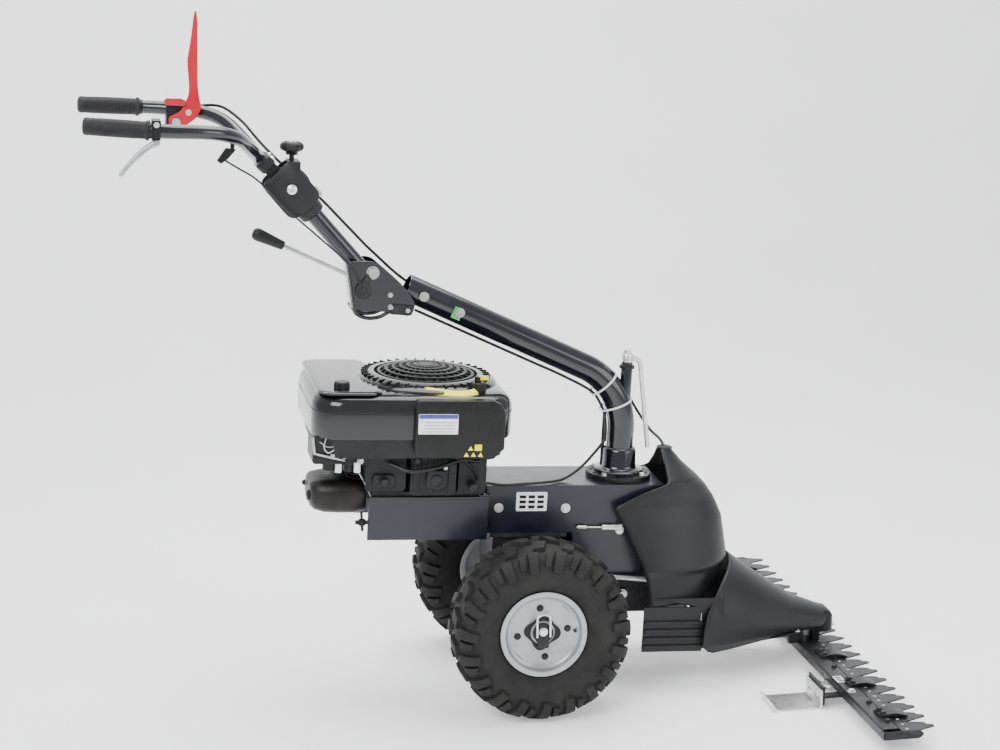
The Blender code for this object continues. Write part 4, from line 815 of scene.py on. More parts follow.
# %% Filter cover, caps and labels
cover_outline = [(-0.25, 0.338), (-0.25, 0.437), (-0.246, 0.442), (-0.098, 0.442), (-0.08, 0.434),
                 (-0.072, 0.415), (-0.072, 0.345), (-0.087, 0.333), (-0.09, 0.326), (-0.1, 0.324),
                 (-0.244, 0.33)]
centre = Vector((-0.165, 0, 0.385))
rows = []
for depth, shrink in ((-0.16, 1.0), (-0.176, 1.0), (-0.1795, 0.992), (-0.1812, 0.965), (-0.1815, 0.93)):
    rows.append([(centre.x + (x - centre.x) * shrink, depth, centre.z + (z - centre.z) * shrink)
                 for x, z in cover_outline])
SHIFT = Vector((-0.009, 0.0, 0.009))
add("filter_cover", moved(skin(rows), SHIFT), engine_plastic, "chassis", "black_plastic",
    stands_for=["air_filter_cover"], sharp=40, bevel=0.0006)
ribs = bmesh.new()
for k in range(17):
    x = -0.238 + k * 0.0088
    merge(ribs, block((x, -0.1826, 0.42), (x + 0.0022, -0.1805, 0.436)))
add("filter_cover_ribs", moved(ribs, SHIFT), engine_plastic, "chassis", "black_plastic", bevel=0.0003)
LABEL_THICK = 0.0006
LABEL_LOW, LABEL_HIGH = Vector((-0.254, 0.385)), Vector((-0.176, 0.425))
face = -0.1815
add("filter_label", plate(rounded(LABEL_LOW, LABEL_HIGH, 0.002), face - LABEL_THICK, face), label_white,
    "chassis",
    "black_plastic")
add("filter_label_band", strip_of((LABEL_LOW.x + 0.0008, 0.416), (LABEL_HIGH.x - 0.0008, 0.4243),
                                  face - 0.001, face - LABEL_THICK), label_blue, "chassis", "black_plastic")
greys = bmesh.new()
for k in range(4):
    z = 0.389 + k * 0.0062
    merge(greys, strip_of((-0.241, z), (-0.183, z + 0.0016), face - 0.001, face - LABEL_THICK))
add("filter_label_lines", greys, rim_silver, "chassis", "black_plastic")
strip = [(-0.235, -0.133, 0.463), (-0.205, -0.14, 0.46), (-0.175, -0.144, 0.4575),
         (-0.148, -0.142, 0.459), (-0.13, -0.133, 0.4625)]
band = bmesh.new()
line = smooth_route(strip, 5)
low_row = [band.verts.new(p + Vector((0, -0.008, -0.0125))) for p in line]
high_row = [band.verts.new(p + Vector((0, 0.006, 0.004))) for p in line]
for k in range(len(line) - 1):
    band.faces.new((low_row[k], low_row[k + 1], high_row[k + 1], high_row[k]))
add("top_label", band, label_yellow, "chassis", "black_plastic", thick=0.0008)
add("dip_tag", block((-0.128, -0.124, 0.48), (-0.108, -0.1222, 0.489)), label_yellow,
    "chassis", "black_plastic", bevel=0.0004)
signs = strip_of((-0.141, 0.352), (-0.127, 0.364), face - LABEL_THICK, face)
for x, z in ((-0.149, 0.3525), (-0.157, 0.34), (-0.143, 0.34), (-0.129, 0.34)):
    merge(signs, plate([(x - 0.005, z), (x + 0.005, z), (x, z + 0.0085)], face - LABEL_THICK, face))
add("filter_signs", signs, label_yellow, "chassis", "black_plastic")


def knurled(radius, height, teeth=18, depth=0.0012):
    rows = []
    for z, shrink in ((0.0, 1.0), (height * 0.7, 1.0), (height * 0.92, 0.92), (height, 0.78)):
        rows.append([((radius * shrink - (depth if k % 2 else 0.0)) * math.cos(math.pi * k / teeth),
                      (radius * shrink - (depth if k % 2 else 0.0)) * math.sin(math.pi * k / teeth), z)
                     for k in range(2 * teeth)])
    return skin(rows)


add("fuel_cap_knurled", moved(knurled(0.0158, 0.0175), (-0.396, -0.11, 0.4554)), engine_plastic,
    "fuel_tank_cap", "black_plastic", stands_for=["fuel_cap"], sharp=25)
oil = moved(knurled(0.0165, 0.02), (-0.128, -0.118, 0.455))
merge(oil, moved(disc(0.007, 0.012, 20), (-0.128, -0.118, 0.474)))
add("oil_cap", oil, engine_plastic, "chassis", "black_plastic", sharp=25)
print("covers, caps and labels done")

# %% Castings and linkages below the shroud
fins = bmesh.new()
for k in range(12):
    z = 0.258 + k * 0.009
    merge(fins, plate(rounded((-0.372, -0.082), (-0.118, 0.105), 0.022, 4), z, z + 0.003, "XY"))
add("cylinder_fins", fins, cast_grey, "chassis", "engine_alloy", bevel=0.0004)
side_cover = bmesh.new()
for low, high, depth in (((-0.345, 0.252), (-0.262, 0.366), -0.118),
                         ((-0.256, 0.247), (-0.164, 0.356), -0.13),
                         ((-0.158, 0.244), (-0.1, 0.35), -0.112), ((-0.225, 0.262), (-0.185, 0.3), -0.138),
                         ((-0.33, 0.262), (-0.285, 0.288), -0.126)):
    merge(side_cover, plate(rounded(low, high, 0.009, 4), depth, -0.07))
add("engine_side_castings", side_cover, dark_steel, "chassis", "engine_alloy", bevel=0.0015)
details = bmesh.new()
for x, z, radius in ((-0.308, 0.276, 0.0085), (-0.205, 0.28, 0.012), (-0.245, 0.32, 0.007),
                     (-0.175, 0.33, 0.007), (-0.13, 0.265, 0.009)):
    stub = lathe([(0, 0), (radius, 0), (radius, 0.024), (radius * 0.8, 0.027), (0, 0.027)], 24)
    merge(details, moved(stub, (x, -0.115, z), aim((0, -1, 0))))
for k in range(6):
    x = -0.25 + k * 0.014
    merge(details, block((x, -0.1335, 0.25), (x + 0.003, -0.1295, 0.348)))
add("engine_details", details, cast_grey, "chassis", "engine_alloy", bevel=0.0006)
hoses = tube(smooth_route([(-0.3, -0.126, 0.312), (-0.26, -0.144, 0.301), (-0.21, -0.148, 0.308),
                           (-0.16, -0.14, 0.322), (-0.12, -0.12, 0.314)]), 0.0045, 14)
merge(hoses, tube(smooth_route([(-0.295, -0.126, 0.344), (-0.23, -0.145, 0.343), (-0.165, -0.142, 0.326),
                                (-0.125, -0.118, 0.29), (-0.115, -0.098, 0.25)]), 0.0032, 12))
add("engine_hoses", hoses, cable_sheath, "chassis", "cable_sheath")
engine_bolts = bmesh.new()
for x, y, z, radius in ((-0.334, -0.12, 0.347, 0.0085), (-0.39, -0.13, 0.329, 0.006),
                        (-0.357, -0.128, 0.318, 0.0058), (-0.188, -0.131, 0.305, 0.004)):
    merge(engine_bolts, hex_bolt(radius, 0.008, (x, y, z), (0, -1, 0), 1.2))
for x in (-0.332, -0.112):
    for y in (-0.086, 0.086):
        merge(engine_bolts, hex_bolt(0.0065, 0.0065, (x, y, 0.2455), (0, 0, 1)))
add("engine_bolts", engine_bolts, bare_steel, "chassis", "zinc", bevel=0.0004)
bracket = plate([(-0.456, 0.367), (-0.451, 0.368), (-0.447, 0.337), (-0.412, 0.329), (-0.39, 0.323),
                 (-0.389, 0.32), (-0.414, 0.325), (-0.451, 0.334)], -0.142, -0.1408)
for route, radius in (([(-0.428, 0.368), (-0.431, 0.348), (-0.422, 0.338), (-0.411, 0.344)], 0.0014),
                      ([(-0.408, 0.338), (-0.392, 0.347), (-0.365, 0.354)], 0.0011),
                      ([(-0.44, 0.36), (-0.425, 0.35), (-0.405, 0.352)], 0.0011)):
    merge(bracket, tube(smooth_route([(x, -0.144, z) for x, z in route]), radius, 10))
merge(bracket, block((-0.418, -0.144, 0.329), (-0.409, -0.138, 0.335)))
add("throttle_linkage", bracket, bare_steel, "chassis", "zinc", bevel=0.0003)
carburettor = plate(rounded((-0.452, 0.313), (-0.388, 0.368), 0.006, 3), -0.136, -0.055)
for x, low, radius in ((-0.415, 0.296, 0.014), (-0.376, 0.293, 0.011)):
    merge(carburettor, moved(disc(radius, 0.03, 28), (x, -0.11, low)))
merge(carburettor, plate(rounded((-0.392, 0.308), (-0.34, 0.368), 0.005, 3), -0.124, -0.055))
add("carburettor", carburettor, dark_steel, "chassis", "engine_alloy", bevel=0.0012)
spacers = bmesh.new()
for x in (-0.399, -0.362):
    merge(spacers, moved(disc(0.0065, 0.02), (x, -0.124, 0.294)))
add("pale_spacers", spacers, label_white, "chassis", "zinc")
spring = tube(smooth_route([(-0.36, -0.126, 0.296), (-0.352, -0.126, 0.282), (-0.345, -0.118, 0.27),
                            (-0.33, -0.103, 0.239)]), 0.0014, 10)
add("return_spring", spring, bare_steel, "chassis", "zinc")
print("castings and linkages done")

# %% [markdown]
# ## Muffler
# A pressed can with soft corners sits at the back, low and to the right, with its outlet in the
# rear face and a wing nut below. A loft of rounded rings along its length makes the can, because
# it narrows towards both ends like two pressings seamed together.

# %% Muffler
can = []
for x, grow, lift in ((-0.448, 0.55, 0.002), (-0.4455, 0.72, 0.002), (-0.438, 0.86, 0.001),
                      (-0.42, 0.97, 0.0),
                      (-0.395, 1.0, 0.0), (-0.36, 1.0, 0.0), (-0.345, 0.95, 0.0), (-0.3375, 0.85, 0.0)):
    outline = rounded((-0.068 * grow, -0.034 * grow), (0.068 * grow, 0.034 * grow), 0.028 * grow, 8)
    can.append([(x, -0.04 + y, 0.234 + lift + z) for y, z in outline])
add("muffler_can", skin(can), muffler_black, "chassis", "dark_steel", stands_for=["muffler"], sharp=60)
outlet = tube([(-0.452, -0.07, 0.233), (-0.438, -0.07, 0.233)], 0.0105, 28, 0.008)
merge(outlet, hex_bolt(0.005, 0.006, (-0.45, -0.02, 0.245), (-1, 0, 0)))
add("muffler_outlet", outlet, dark_steel, "chassis", "dark_steel")
wing = tube([(-0.348, -0.11, 0.208), (-0.345, -0.112, 0.17)], 0.0028, 12)
merge(wing, block((-0.36, -0.1145, 0.184), (-0.333, -0.1095, 0.192)))
merge(wing, moved(disc(0.007, 0.012, 20), (-0.3465, -0.112, 0.182)))
add("wing_nut", wing, dark_steel, "chassis", "dark_steel", bevel=0.001)
print("muffler done")

# %% [markdown]
# ## The steering column
# One bent tube rises from a swivel on the frame and leans back to the handle. It turns in a
# collar welded on a ring of holes, and a bent zinc lever locks it. A tube like this is drawn by
# its centre line: a straight, a wide bend, and another straight, with small steps round the bend.

# %% Column tube, collar, ring and lock
COLUMN_X, CORNER_Z, BEND, SLOPE = 0.2, 0.4451, 0.14, math.radians(23.1)
COLUMN_RADIUS, COLUMN_BORE = 0.0275, 0.024
RING_CIRCLE = 0.056
LOCK_X = 0.2045


def column_point(distance, below=0.0, y=0.0):
    return Vector((COLUMN_X - distance * math.cos(SLOPE) - below * math.sin(SLOPE), y,
                   CORNER_Z + distance * math.sin(SLOPE) - below * math.cos(SLOPE)))


turn = math.pi / 2 - SLOPE
bend_low = CORNER_Z - BEND * math.tan(turn / 2)
path = [Vector((COLUMN_X, 0, 0.253)), Vector((COLUMN_X, 0, bend_low - 0.01))]
path += [Vector((COLUMN_X - BEND + BEND * math.cos(turn * k / 24), 0,
                 bend_low + BEND * math.sin(turn * k / 24)))
         for k in range(25)]
path += [column_point(0.3), column_point(0.5)]
add("column_bent_tube", tube(path, COLUMN_RADIUS, 40, COLUMN_BORE), tube_paint, "column", "tube_paint",
    stands_for=["column_tube"], sharp=50)
gusset = bmesh.new()
for distance in (0.385, 0.465):
    spot = column_point(distance, 0.0)
    merge(gusset, hex_bolt(0.0075, 0.008, spot + Vector((0, -0.0325, 0)), (0, -1, 0)))
    merge(gusset, hex_bolt(0.0075, 0.008, spot + Vector((0, 0.0325, 0)), (0, 1, 0)))
add("column_bolts", gusset, bare_steel, "column", "bright_steel", bevel=0.0004)

collar = lathe([(0.0276, 0.2528), (0.0297, 0.2528), (0.0297, 0.2627), (0.05, 0.2627), (0.05, 0.269),
                (0.048, 0.2706), (0.039, 0.2712), (0.036, 0.2735), (0.0345, 0.278), (0.034, 0.3085),
                (0.0325, 0.312), (0.03, 0.3145), (0.0276, 0.315)], 64)
add("column_collar_socket", moved(collar, (COLUMN_X, 0, 0)), tube_paint, "column", "tube_paint",
    stands_for=["column_collar"], sharp=35)
dress("swivel_ring", dark_steel, 0.0008)
ring_bolts = bmesh.new()
for k in (1, 4, 7, 10):
    angle = 2 * math.pi * (k + 0.5) / 12
    merge(ring_bolts,
          hex_bolt(0.0062, 0.0052, (COLUMN_X + RING_CIRCLE * math.cos(angle), RING_CIRCLE * math.sin(angle),
                                                0.2624), (0, 0, 1), 1.15))
add("ring_bolts", ring_bolts, zinc_plate, "chassis", "zinc", bevel=0.0003)

post = lathe([(0, 0.405), (0.012, 0.405), (0.012, 0.488), (0.0108, 0.492), (0, 0.492)], 32)
add("lock_post", moved(post, (LOCK_X, 0, 0)), tube_paint, "column", "tube_paint")
lock_path = [(0, 0, 0.011), (0.013, 0, 0.0075), (0.0226, 0, 0.0038), (0.027, 0, -0.002), (0.029, 0, -0.012),
             (0.0315, 0, -0.028), (0.037, 0, -0.064), (0.0545, 0, -0.1793)]
lock = tube(smooth_route(lock_path, 5), 0.005, 20)
merge(lock, lathe([(0, 0.0006), (0.011, 0.0006), (0.011, 0.015), (0.0095, 0.0175), (0, 0.0175)], 32))
merge(lock, hex_bolt(0.0082, 0.0075, (0, 0, 0.017), (0, 0, 1), 1.1))
lock.transform(Matrix.Translation((LOCK_X, 0, 0.492)))
add("lock_lever_bent", lock, zinc_plate, "swivel_lock", "zinc", stands_for=["lock_lever"], bevel=0.0004)
tag_spot = column_point(0.388, 0.004, -0.0283)
tag = moved(block((-0.0095, -0.0004, -0.012), (0.0095, 0.0004, 0.012)), tag_spot,
            Matrix.Rotation(SLOPE, 4, "Y"))
add("column_tag", tag, label_green, "column", "tube_paint")
riser = tube([(0.1665, 0.011, 0.2712), (0.1665, 0.011, 0.39)], 0.0038, 16)
post_ring = lathe([(0.0119, 0.479), (0.0155, 0.479), (0.016, 0.481), (0.0155, 0.485), (0.0119, 0.486)], 28)
merge(riser, moved(post_ring, (LOCK_X, 0, 0)))
add("column_riser", riser, dark_steel, "column", "dark_steel", bevel=0.0003)
print("column done")

# %% [markdown]
# ## The handle tube, its bracket and the gear rod
# The steep handle tube is clamped to the column by a folded bracket. Each of its sides carries a
# small drum and a stop block, and a bent rod guards its lower edge. The bracket's sides are
# plates with softened corners, which is how folded steel reads.

# %% Handle tube and bracket
HINGE = Vector((-0.4964, 0.0, 0.8349))
HANDLE_SLOPE = math.radians(47.57)
DOWN = Vector((math.cos(HANDLE_SLOPE), 0.0, -math.sin(HANDLE_SLOPE)))
handle = tube([HINGE + DOWN * 0.052, HINGE + DOWN * 0.16, HINGE + DOWN * 0.272], 0.017, 36, 0.0148)
add("handle_tube_round", handle, tube_paint, "column", "tube_paint", stands_for=["handle_tube"], sharp=50)


def soften(outline, radius, steps=5):
    """Rounds the corners of an outline."""
    made = []
    n = len(outline)
    for i in range(n):
        a, b, c = (Vector(outline[(i + k) % n]) for k in (-1, 0, 1))
        reach = min(radius, (a - b).length * 0.45, (c - b).length * 0.45)
        start, end = b + (a - b).normalized() * reach, b + (c - b).normalized() * reach
        for k in range(steps + 1):
            t = k / steps
            made.append(tuple((1 - t) ** 2 * start + 2 * t * (1 - t) * b + t * t * end))
    return made


CHEEK_IN, CHEEK_OUT = 0.029, 0.0325
cheek = soften([(-0.382, 0.696), (-0.364, 0.597), (-0.3, 0.596), (-0.252, 0.586), (-0.243, 0.612),
                (-0.262, 0.64),
                (-0.285, 0.66), (-0.33, 0.697)], 0.012)
bracket = bmesh.new()
for side in (-1, 1):
    merge(bracket, plate(cheek, *span(side, CHEEK_IN, CHEEK_OUT)))
rear_plate = [(-0.385, 0.696), (-0.3815, 0.6975), (-0.364, 0.596), (-0.368, 0.595)]
for low, high in ((-0.0345, -0.03), (-0.016, 0.0345)):
    merge(bracket, plate(rear_plate, low, high))
add("control_bracket_folded", bracket, tube_paint, "column", "tube_paint", stands_for=["control_bracket"],
    bevel=0.0008, sharp=50)
bumper = [(-0.369, 0.604), (-0.36, 0.59), (-0.34, 0.582), (-0.316, 0.584), (-0.295, 0.595)]
loop = bmesh.new()
for y in (-0.025, 0.025):
    merge(loop, tube(smooth_route([(x, y, z) for x, z in bumper], 6), 0.004, 16))
add("bracket_bumper", loop, tube_paint, "column", "tube_paint")
bolts = bmesh.new()
for x, z, radius in ((-0.332, 0.674, 0.0105), (-0.294, 0.606, 0.0048), (-0.2955, 0.63, 0.0042),
                     (-0.26, 0.6, 0.005)):
    for side in (-1, 1):
        merge(bolts, hex_bolt(radius, 0.007, (x, side * 0.0327, z), (0, side, 0), 1.25))
add("bracket_bolts", bolts, bare_steel, "column", "bright_steel", bevel=0.0004)

GEAR_Y = -0.023
quadrant = bmesh.new()
for side in (-1, 1):
    drum = lathe([(0, 0), (0.0165, 0), (0.0165, 0.005), (0.0145, 0.0075), (0.006, 0.0078), (0.006, 0.0105),
                  (0, 0.0105)], 36)
    merge(quadrant, moved(drum, (-0.35, side * CHEEK_OUT, 0.639), aim((0, side, 0))))
    low, high = span(side, CHEEK_OUT, 0.0385)
    merge(quadrant,
          plate(soften([(-0.292, 0.612), (-0.296, 0.592), (-0.252, 0.59), (-0.248, 0.609)], 0.005), low,
                high))
    merge(quadrant,
          plate(soften([(-0.356, 0.652), (-0.344, 0.65), (-0.326, 0.676), (-0.334, 0.686)], 0.004),
                          low, low + 0.004 if side > 0 else high))
add("gear_quadrant", quadrant, cast_grey, "column", "dark_steel", bevel=0.0006)

grip_end = Vector((-0.569, GEAR_Y, 0.7484))
rod_end = Vector((-0.296, GEAR_Y, 0.6328))
heading = (rod_end - grip_end).normalized()
gear = tube([grip_end + heading * 0.012, rod_end], 0.0044, 20)
add("gear_rod_round", gear, bare_steel, "gear_selector", "bright_steel", stands_for=["gear_rod"])
knob = lathe([(0, 0), (0.0065, 0.0004), (0.0105, 0.003), (0.0124, 0.0075), (0.0128, 0.014), (0.0122, 0.022),
              (0.0108, 0.04), (0.0096, 0.056), (0.009, 0.064), (0.008, 0.066), (0.0051, 0.066),
              (0.0051, 0.013), (0, 0.013)], 40)
knob.transform(aim(heading))
add("gear_grip_moulded", moved(knob, grip_end), engine_plastic, "gear_selector", "black_plastic",
    stands_for=["gear_grip"], sharp=50)
print("handle tube, bracket and gear rod done")

# %% [markdown]
# ## The height hinge
# A moulded knuckle joins the handle tube to the handlebar. Its two cheeks hold a ribbed barrel,
# a bolt runs across, and a round clamp knob sits on top. The cheeks are rounded pads, so they are
# built as a stack of outlines that draw in towards the outside, like a moulding with soft edges.

# %% Hinge housing, barrel and knob


def pad(outline, steps, centre):
    rows = []
    for y, shrink in steps:
        rows.append([(centre.x + (x - centre.x) * shrink, y, centre.z + (z - centre.z) * shrink)
                     for x, z in outline])
    return skin(rows)


ACROSS = Vector((-math.sin(HANDLE_SLOPE), 0.0, -math.cos(HANDLE_SLOPE)))
square = soften([(-0.044, -0.037), (0.048, -0.037), (0.056, 0.0), (0.048, 0.041), (-0.044, 0.041)], 0.019,
                7)
cheek = [(HINGE.x + DOWN.x * u + ACROSS.x * v, HINGE.z + DOWN.z * u + ACROSS.z * v) for u, v in square]
housing = bmesh.new()
for side in (-1, 1):
    steps = [(side * 0.0206, 1.0), (side * 0.0262, 1.0), (side * 0.0286, 0.985), (side * 0.03, 0.945)]
    merge(housing, pad(cheek, steps, HINGE))
socket = lathe([(0.0173, 0.044), (0.0258, 0.044), (0.0268, 0.05), (0.0262, 0.062), (0.0245, 0.07),
                (0.0215, 0.072), (0.0173, 0.072)], 48)
socket.transform(aim(DOWN))
merge(housing, moved(socket, HINGE))
seat = block((-0.007, -0.0285, 0.0405), (0.016, 0.0285, 0.053))
merge(housing, moved(seat, HINGE))
for side in (-1, 1):
    low, high = span(side, 0.0208, 0.0285)
    merge(housing, moved(block((-0.007, low, 0.02), (0.016, high, 0.042)), HINGE))
add("hinge_housing", housing, moulded_plastic, "column", "black_plastic", stands_for=["hinge_fork"],
    bevel=0.0012, sharp=40)

NECK = math.radians(138)
OUTWARD = Vector((math.cos(NECK), 0, math.sin(NECK)))
UPPER_SIDE = Vector((math.cos(NECK - math.pi / 2), 0, math.sin(NECK - math.pi / 2)))
barrel = lathe([(0.0064, -0.0199), (0.0385, -0.0199), (0.04, -0.0185), (0.04, -0.011), (0.0388, -0.01),
                (0.0388, -0.008), (0.04, -0.007), (0.04, 0.007), (0.0388, 0.008), (0.0388, 0.01),
                (0.04, 0.011), (0.04, 0.0185), (0.0385, 0.0199), (0.0064, 0.0199)], 64, "Y")
upward = OUTWARD.to_track_quat("X", "Z").to_matrix().to_4x4()
neck = plate(soften([(0.03, -0.013), (0.066, -0.013), (0.066, 0.013), (0.03, 0.013)], 0.003), -0.0192,
             0.0192)
head_rows = []
for x, half_y, half_z in ((0.058, 0.033, 0.014), (0.061, 0.0365, 0.0165), (0.077, 0.037, 0.017),
                          (0.08, 0.035, 0.015)):
    head_rows.append([(x, y, z) for y, z in rounded((-half_y, -half_z), (half_y, half_z), 0.0095, 6)])
neck = merge(neck, skin(head_rows))
for y in (-0.0215, 0.0215):
    merge(neck, tube([(0.077, y, 0.0), (0.0803, y, 0.0)], 0.016, 32))
neck.transform(upward)
merge(barrel, neck)
add("hinge_knuckle", moved(barrel, HINGE), moulded_plastic, "handlebar", "black_plastic",
    stands_for=["hinge_hub"], bevel=0.0008, sharp=40)
screws = bmesh.new()
for y in (-0.024, 0.024):
    spot = HINGE + OUTWARD * 0.069 + Vector((0, y, 0)) + UPPER_SIDE * 0.0168
    merge(screws, hex_bolt(0.005, 0.0045, spot, UPPER_SIDE, 1.4))
add("knuckle_screws", screws, zinc_plate, "handlebar", "zinc", bevel=0.0003)
bolt = lathe([(0, -0.036), (0.0045, -0.037), (0.0095, -0.035), (0.01, -0.033), (0.01, -0.0303),
              (0.0059, -0.0303),
              (0.0059, 0.0303), (0.01, 0.0303), (0.01, 0.033), (0.0095, 0.035), (0.0045, 0.037),
              (0, 0.037)],
             36, "Y")
add("hinge_bolt_zinc", moved(bolt, HINGE), zinc_plate, "column", "zinc", stands_for=["hinge_bolt"],
    sharp=30)

KNOB_AT = HINGE + Vector((0.001, 0, 0.0533))
star = []
for z, radius, wave in ((0.0, 0.005, 0), (0.01, 0.005, 0), (0.0105, 0.011, 0), (0.016, 0.0125, 0),
                        (0.0195, 0.02, 0.0006), (0.0225, 0.0224, 0.001), (0.029, 0.0226, 0.001),
                        (0.033, 0.0205, 0.0006), (0.0365, 0.0145, 0.0002), (0.0388, 0.006, 0)):
    star.append([((radius + wave * math.cos(12 * t)) * math.cos(t),
                  (radius + wave * math.cos(12 * t)) * math.sin(t), z)
                 for t in [2 * math.pi * k / 72 for k in range(72)]])
add("clamp_knob_moulded", moved(skin(star), KNOB_AT), engine_plastic, "height_knob", "black_plastic",
    stands_for=["clamp_knob"], sharp=50)
cap = lathe([(0, 0.0372), (0.0125, 0.036), (0.012, 0.038), (0, 0.0393)], 36)
add("knob_cap", moved(cap, KNOB_AT), zinc_plate, "height_knob", "zinc", sharp=50)
print("hinge done")

# %% [markdown]
# ## Handlebar
# Two bent tubes leave the knuckle side by side, spread out, and run back to the rubber grips. The
# path of each is a smooth curve through a few bends. The grips have a collar, a soft waist and
# fine rings, which is what keeps a hand from slipping.

# %% Arms and grips
ARM_ROUTE = ((-0.583, 0.075, 0.917), (-0.617, 0.14, 0.945), (-0.669, 0.182, 0.958),
             (-0.747, 0.2035, 0.9605))
ARM_END = (-0.89, 0.1835, 0.964)


def arm_path(side):
    root = HINGE + OUTWARD * 0.0803
    root.y = 0.0215
    route = [root] + smooth_route([root + OUTWARD * 0.01, *ARM_ROUTE], 10) + [Vector(ARM_END)]
    return [Vector((p.x, side * p.y, p.z)) for p in route]


for label, side in (("left", 1), ("right", -1)):
    add(f"arm_tube_{label}", tube(arm_path(side), 0.0135, 32, 0.0118), tube_paint, "handlebar",
        "tube_paint",
        stands_for=[f"handle_arm_{label}"], sharp=50)
    start, end = Vector(ARM_ROUTE[-1]), Vector(ARM_END)
    start.y, end.y = start.y * side, end.y * side
    along = (end - start).normalized()
    profile = [(0.0138, 0), (0.018, 0), (0.0188, 0.001), (0.019, 0.0035), (0.018, 0.005), (0.0168, 0.0062)]
    for k in range(20):
        z = 0.008 + k * 0.005
        swell = 0.0163 + 0.0006 * math.sin(math.pi * k / 19)
        profile += [(swell, z), (swell, z + 0.0034), (swell - 0.0008, z + 0.0038),
                    (swell - 0.0008, z + 0.0046)]
    profile += [(0.0165, 0.109), (0.0165, 0.115), (0.015, 0.119), (0.011, 0.1208), (0, 0.121), (0, 0.1175),
                (0.0138, 0.1175)]
    grip = lathe(profile, 48)
    grip.transform(aim(along))
    add(f"grip_ribbed_{label}", moved(grip, start + along * 0.034), grip_rubber, "handlebar", "grip_rubber",
        stands_for=[f"grip_{label}"], sharp=40)
    collar_shape = tube([start + along * 0.028, start + along * 0.0335], 0.015, 32, 0.01365)
    add(f"grip_band_{label}", collar_shape, engine_plastic, "handlebar", "black_plastic", bevel=0.0004)
print("arms and grips done")

# %% [markdown]
# ## Levers
# The tall red lever is sheet steel with a folded flange, so it is a thin plate with a raised rim.
# A small toothed pawl holds it. The grey drive lever is a casting that swells towards its pivot,
# and a short black lever near the knuckle works the reverse.

# %% Red lever, pawl and drive lever
PIVOT_Y = 0.1585
lever_outline = [(-0.7185, 0.928), (-0.7085, 0.924), (-0.6944, 0.928), (-0.6706, 0.9445), (-0.6589, 0.9664),
                 (-0.6638, 0.9843), (-0.6675, 1.0115), (-0.669, 1.06), (-0.67, 1.1), (-0.671, 1.14),
                 (-0.674, 1.158), (-0.6775, 1.156), (-0.68, 1.138), (-0.684, 1.099), (-0.69, 1.059),
                 (-0.685, 1.011), (-0.685, 0.9944), (-0.6922, 0.9743), (-0.7, 0.959), (-0.7145, 0.9524),
                 (-0.724, 0.9462), (-0.723, 0.934)]
soft = soften(lever_outline, 0.01, 4)
lever = plate(soft, PIVOT_Y - 0.003, PIVOT_Y - 0.001)
inner = []
n = len(soft)
for k in range(n):
    a, b, c = (Vector(soft[(k + m) % n]) for m in (-1, 0, 1))
    tangent = (c - a).normalized()
    inner.append((b.x - tangent.y * 0.0018, b.y + tangent.x * 0.0018))
area = sum(soft[k][0] * soft[(k + 1) % n][1] - soft[(k + 1) % n][0] * soft[k][1] for k in range(n))
if area < 0:
    inner = [(2 * b[0] - a[0], 2 * b[1] - a[1]) for a, b in zip(inner, soft)]
rim_rows = [[(x, PIVOT_Y - 0.003, z) for x, z in soft], [(x, PIVOT_Y + 0.003, z) for x, z in soft],
            [(x, PIVOT_Y + 0.003, z) for x, z in inner], [(x, PIVOT_Y - 0.001, z) for x, z in inner]]
flange = skin(rim_rows + rim_rows[:1], closed_ends=False)
merge(lever, flange)
merge(lever, moved(lathe([(0, -0.003), (0.01, -0.003), (0.01, 0.003), (0, 0.003)], 32, "Y"),
                   (-0.7085, PIVOT_Y, 0.937)))
add("clutch_lever_pressed", lever, red_paint, "blade_clutch", "red_paint", stands_for=["clutch_lever"],
    bevel=0.0004)
lever_bolt = hex_bolt(0.0062, 0.005, (-0.7085, PIVOT_Y - 0.0031, 0.937), (0, -1, 0), 1.4)
merge(lever_bolt, hex_bolt(0.004, 0.003, (-0.6845, PIVOT_Y - 0.0031, 0.957), (0, -1, 0), 1.5))
add("clutch_lever_bolts", lever_bolt, zinc_plate, "blade_clutch", "zinc", bevel=0.0003)
PAWL_Y = PIVOT_Y - 0.0055
pawl_outline = [(-0.7344, 0.977), (-0.733, 0.9815), (-0.7287, 0.985)]
for k in range(5):
    x = -0.727 + k * 0.005
    pawl_outline += [(x, 0.9858), (x + 0.0022, 0.9838), (x + 0.0044, 0.9858)]
pawl_outline += [(-0.7, 0.9855), (-0.6905, 0.9785), (-0.6905, 0.97), (-0.7284, 0.971)]
pawl = plate(pawl_outline, PAWL_Y - 0.002, PAWL_Y + 0.002)
merge(pawl, hex_bolt(0.0042, 0.0028, (-0.6955, PAWL_Y - 0.0021, 0.9755), (0, -1, 0), 1.3))
add("toothed_pawl", pawl, red_paint, "clutch_pawl", "red_paint", stands_for=["lock_pawl"], bevel=0.0003)

centre_line = smooth_route([(-0.7665, -0.204, 0.941), (-0.782, -0.204, 0.9315), (-0.802, -0.204, 0.9145),
                            (-0.819, -0.204, 0.8955), (-0.833, -0.204, 0.8765)], 6)
rows = []
for k, point in enumerate(centre_line):
    share = k / (len(centre_line) - 1)
    tangent = (centre_line[min(k + 1, len(centre_line) - 1)] - centre_line[max(k - 1, 0)]).normalized()
    up = Vector((tangent.z, 0, -tangent.x))
    half_w, half_t = 0.006 - 0.0006 * share, 0.0062 - 0.0022 * share
    if share > 0.97:
        half_w, half_t = half_w * 0.6, half_t * 0.6
    rows.append([point + Vector((0, math.copysign(abs(math.cos(t)) ** 0.6, math.cos(t)) * half_w, 0)) +
                 up * math.copysign(abs(math.sin(t)) ** 0.6, math.sin(t)) * half_t
                 for t in [2 * math.pi * m / 20 for m in range(20)]])
drive = skin(rows)
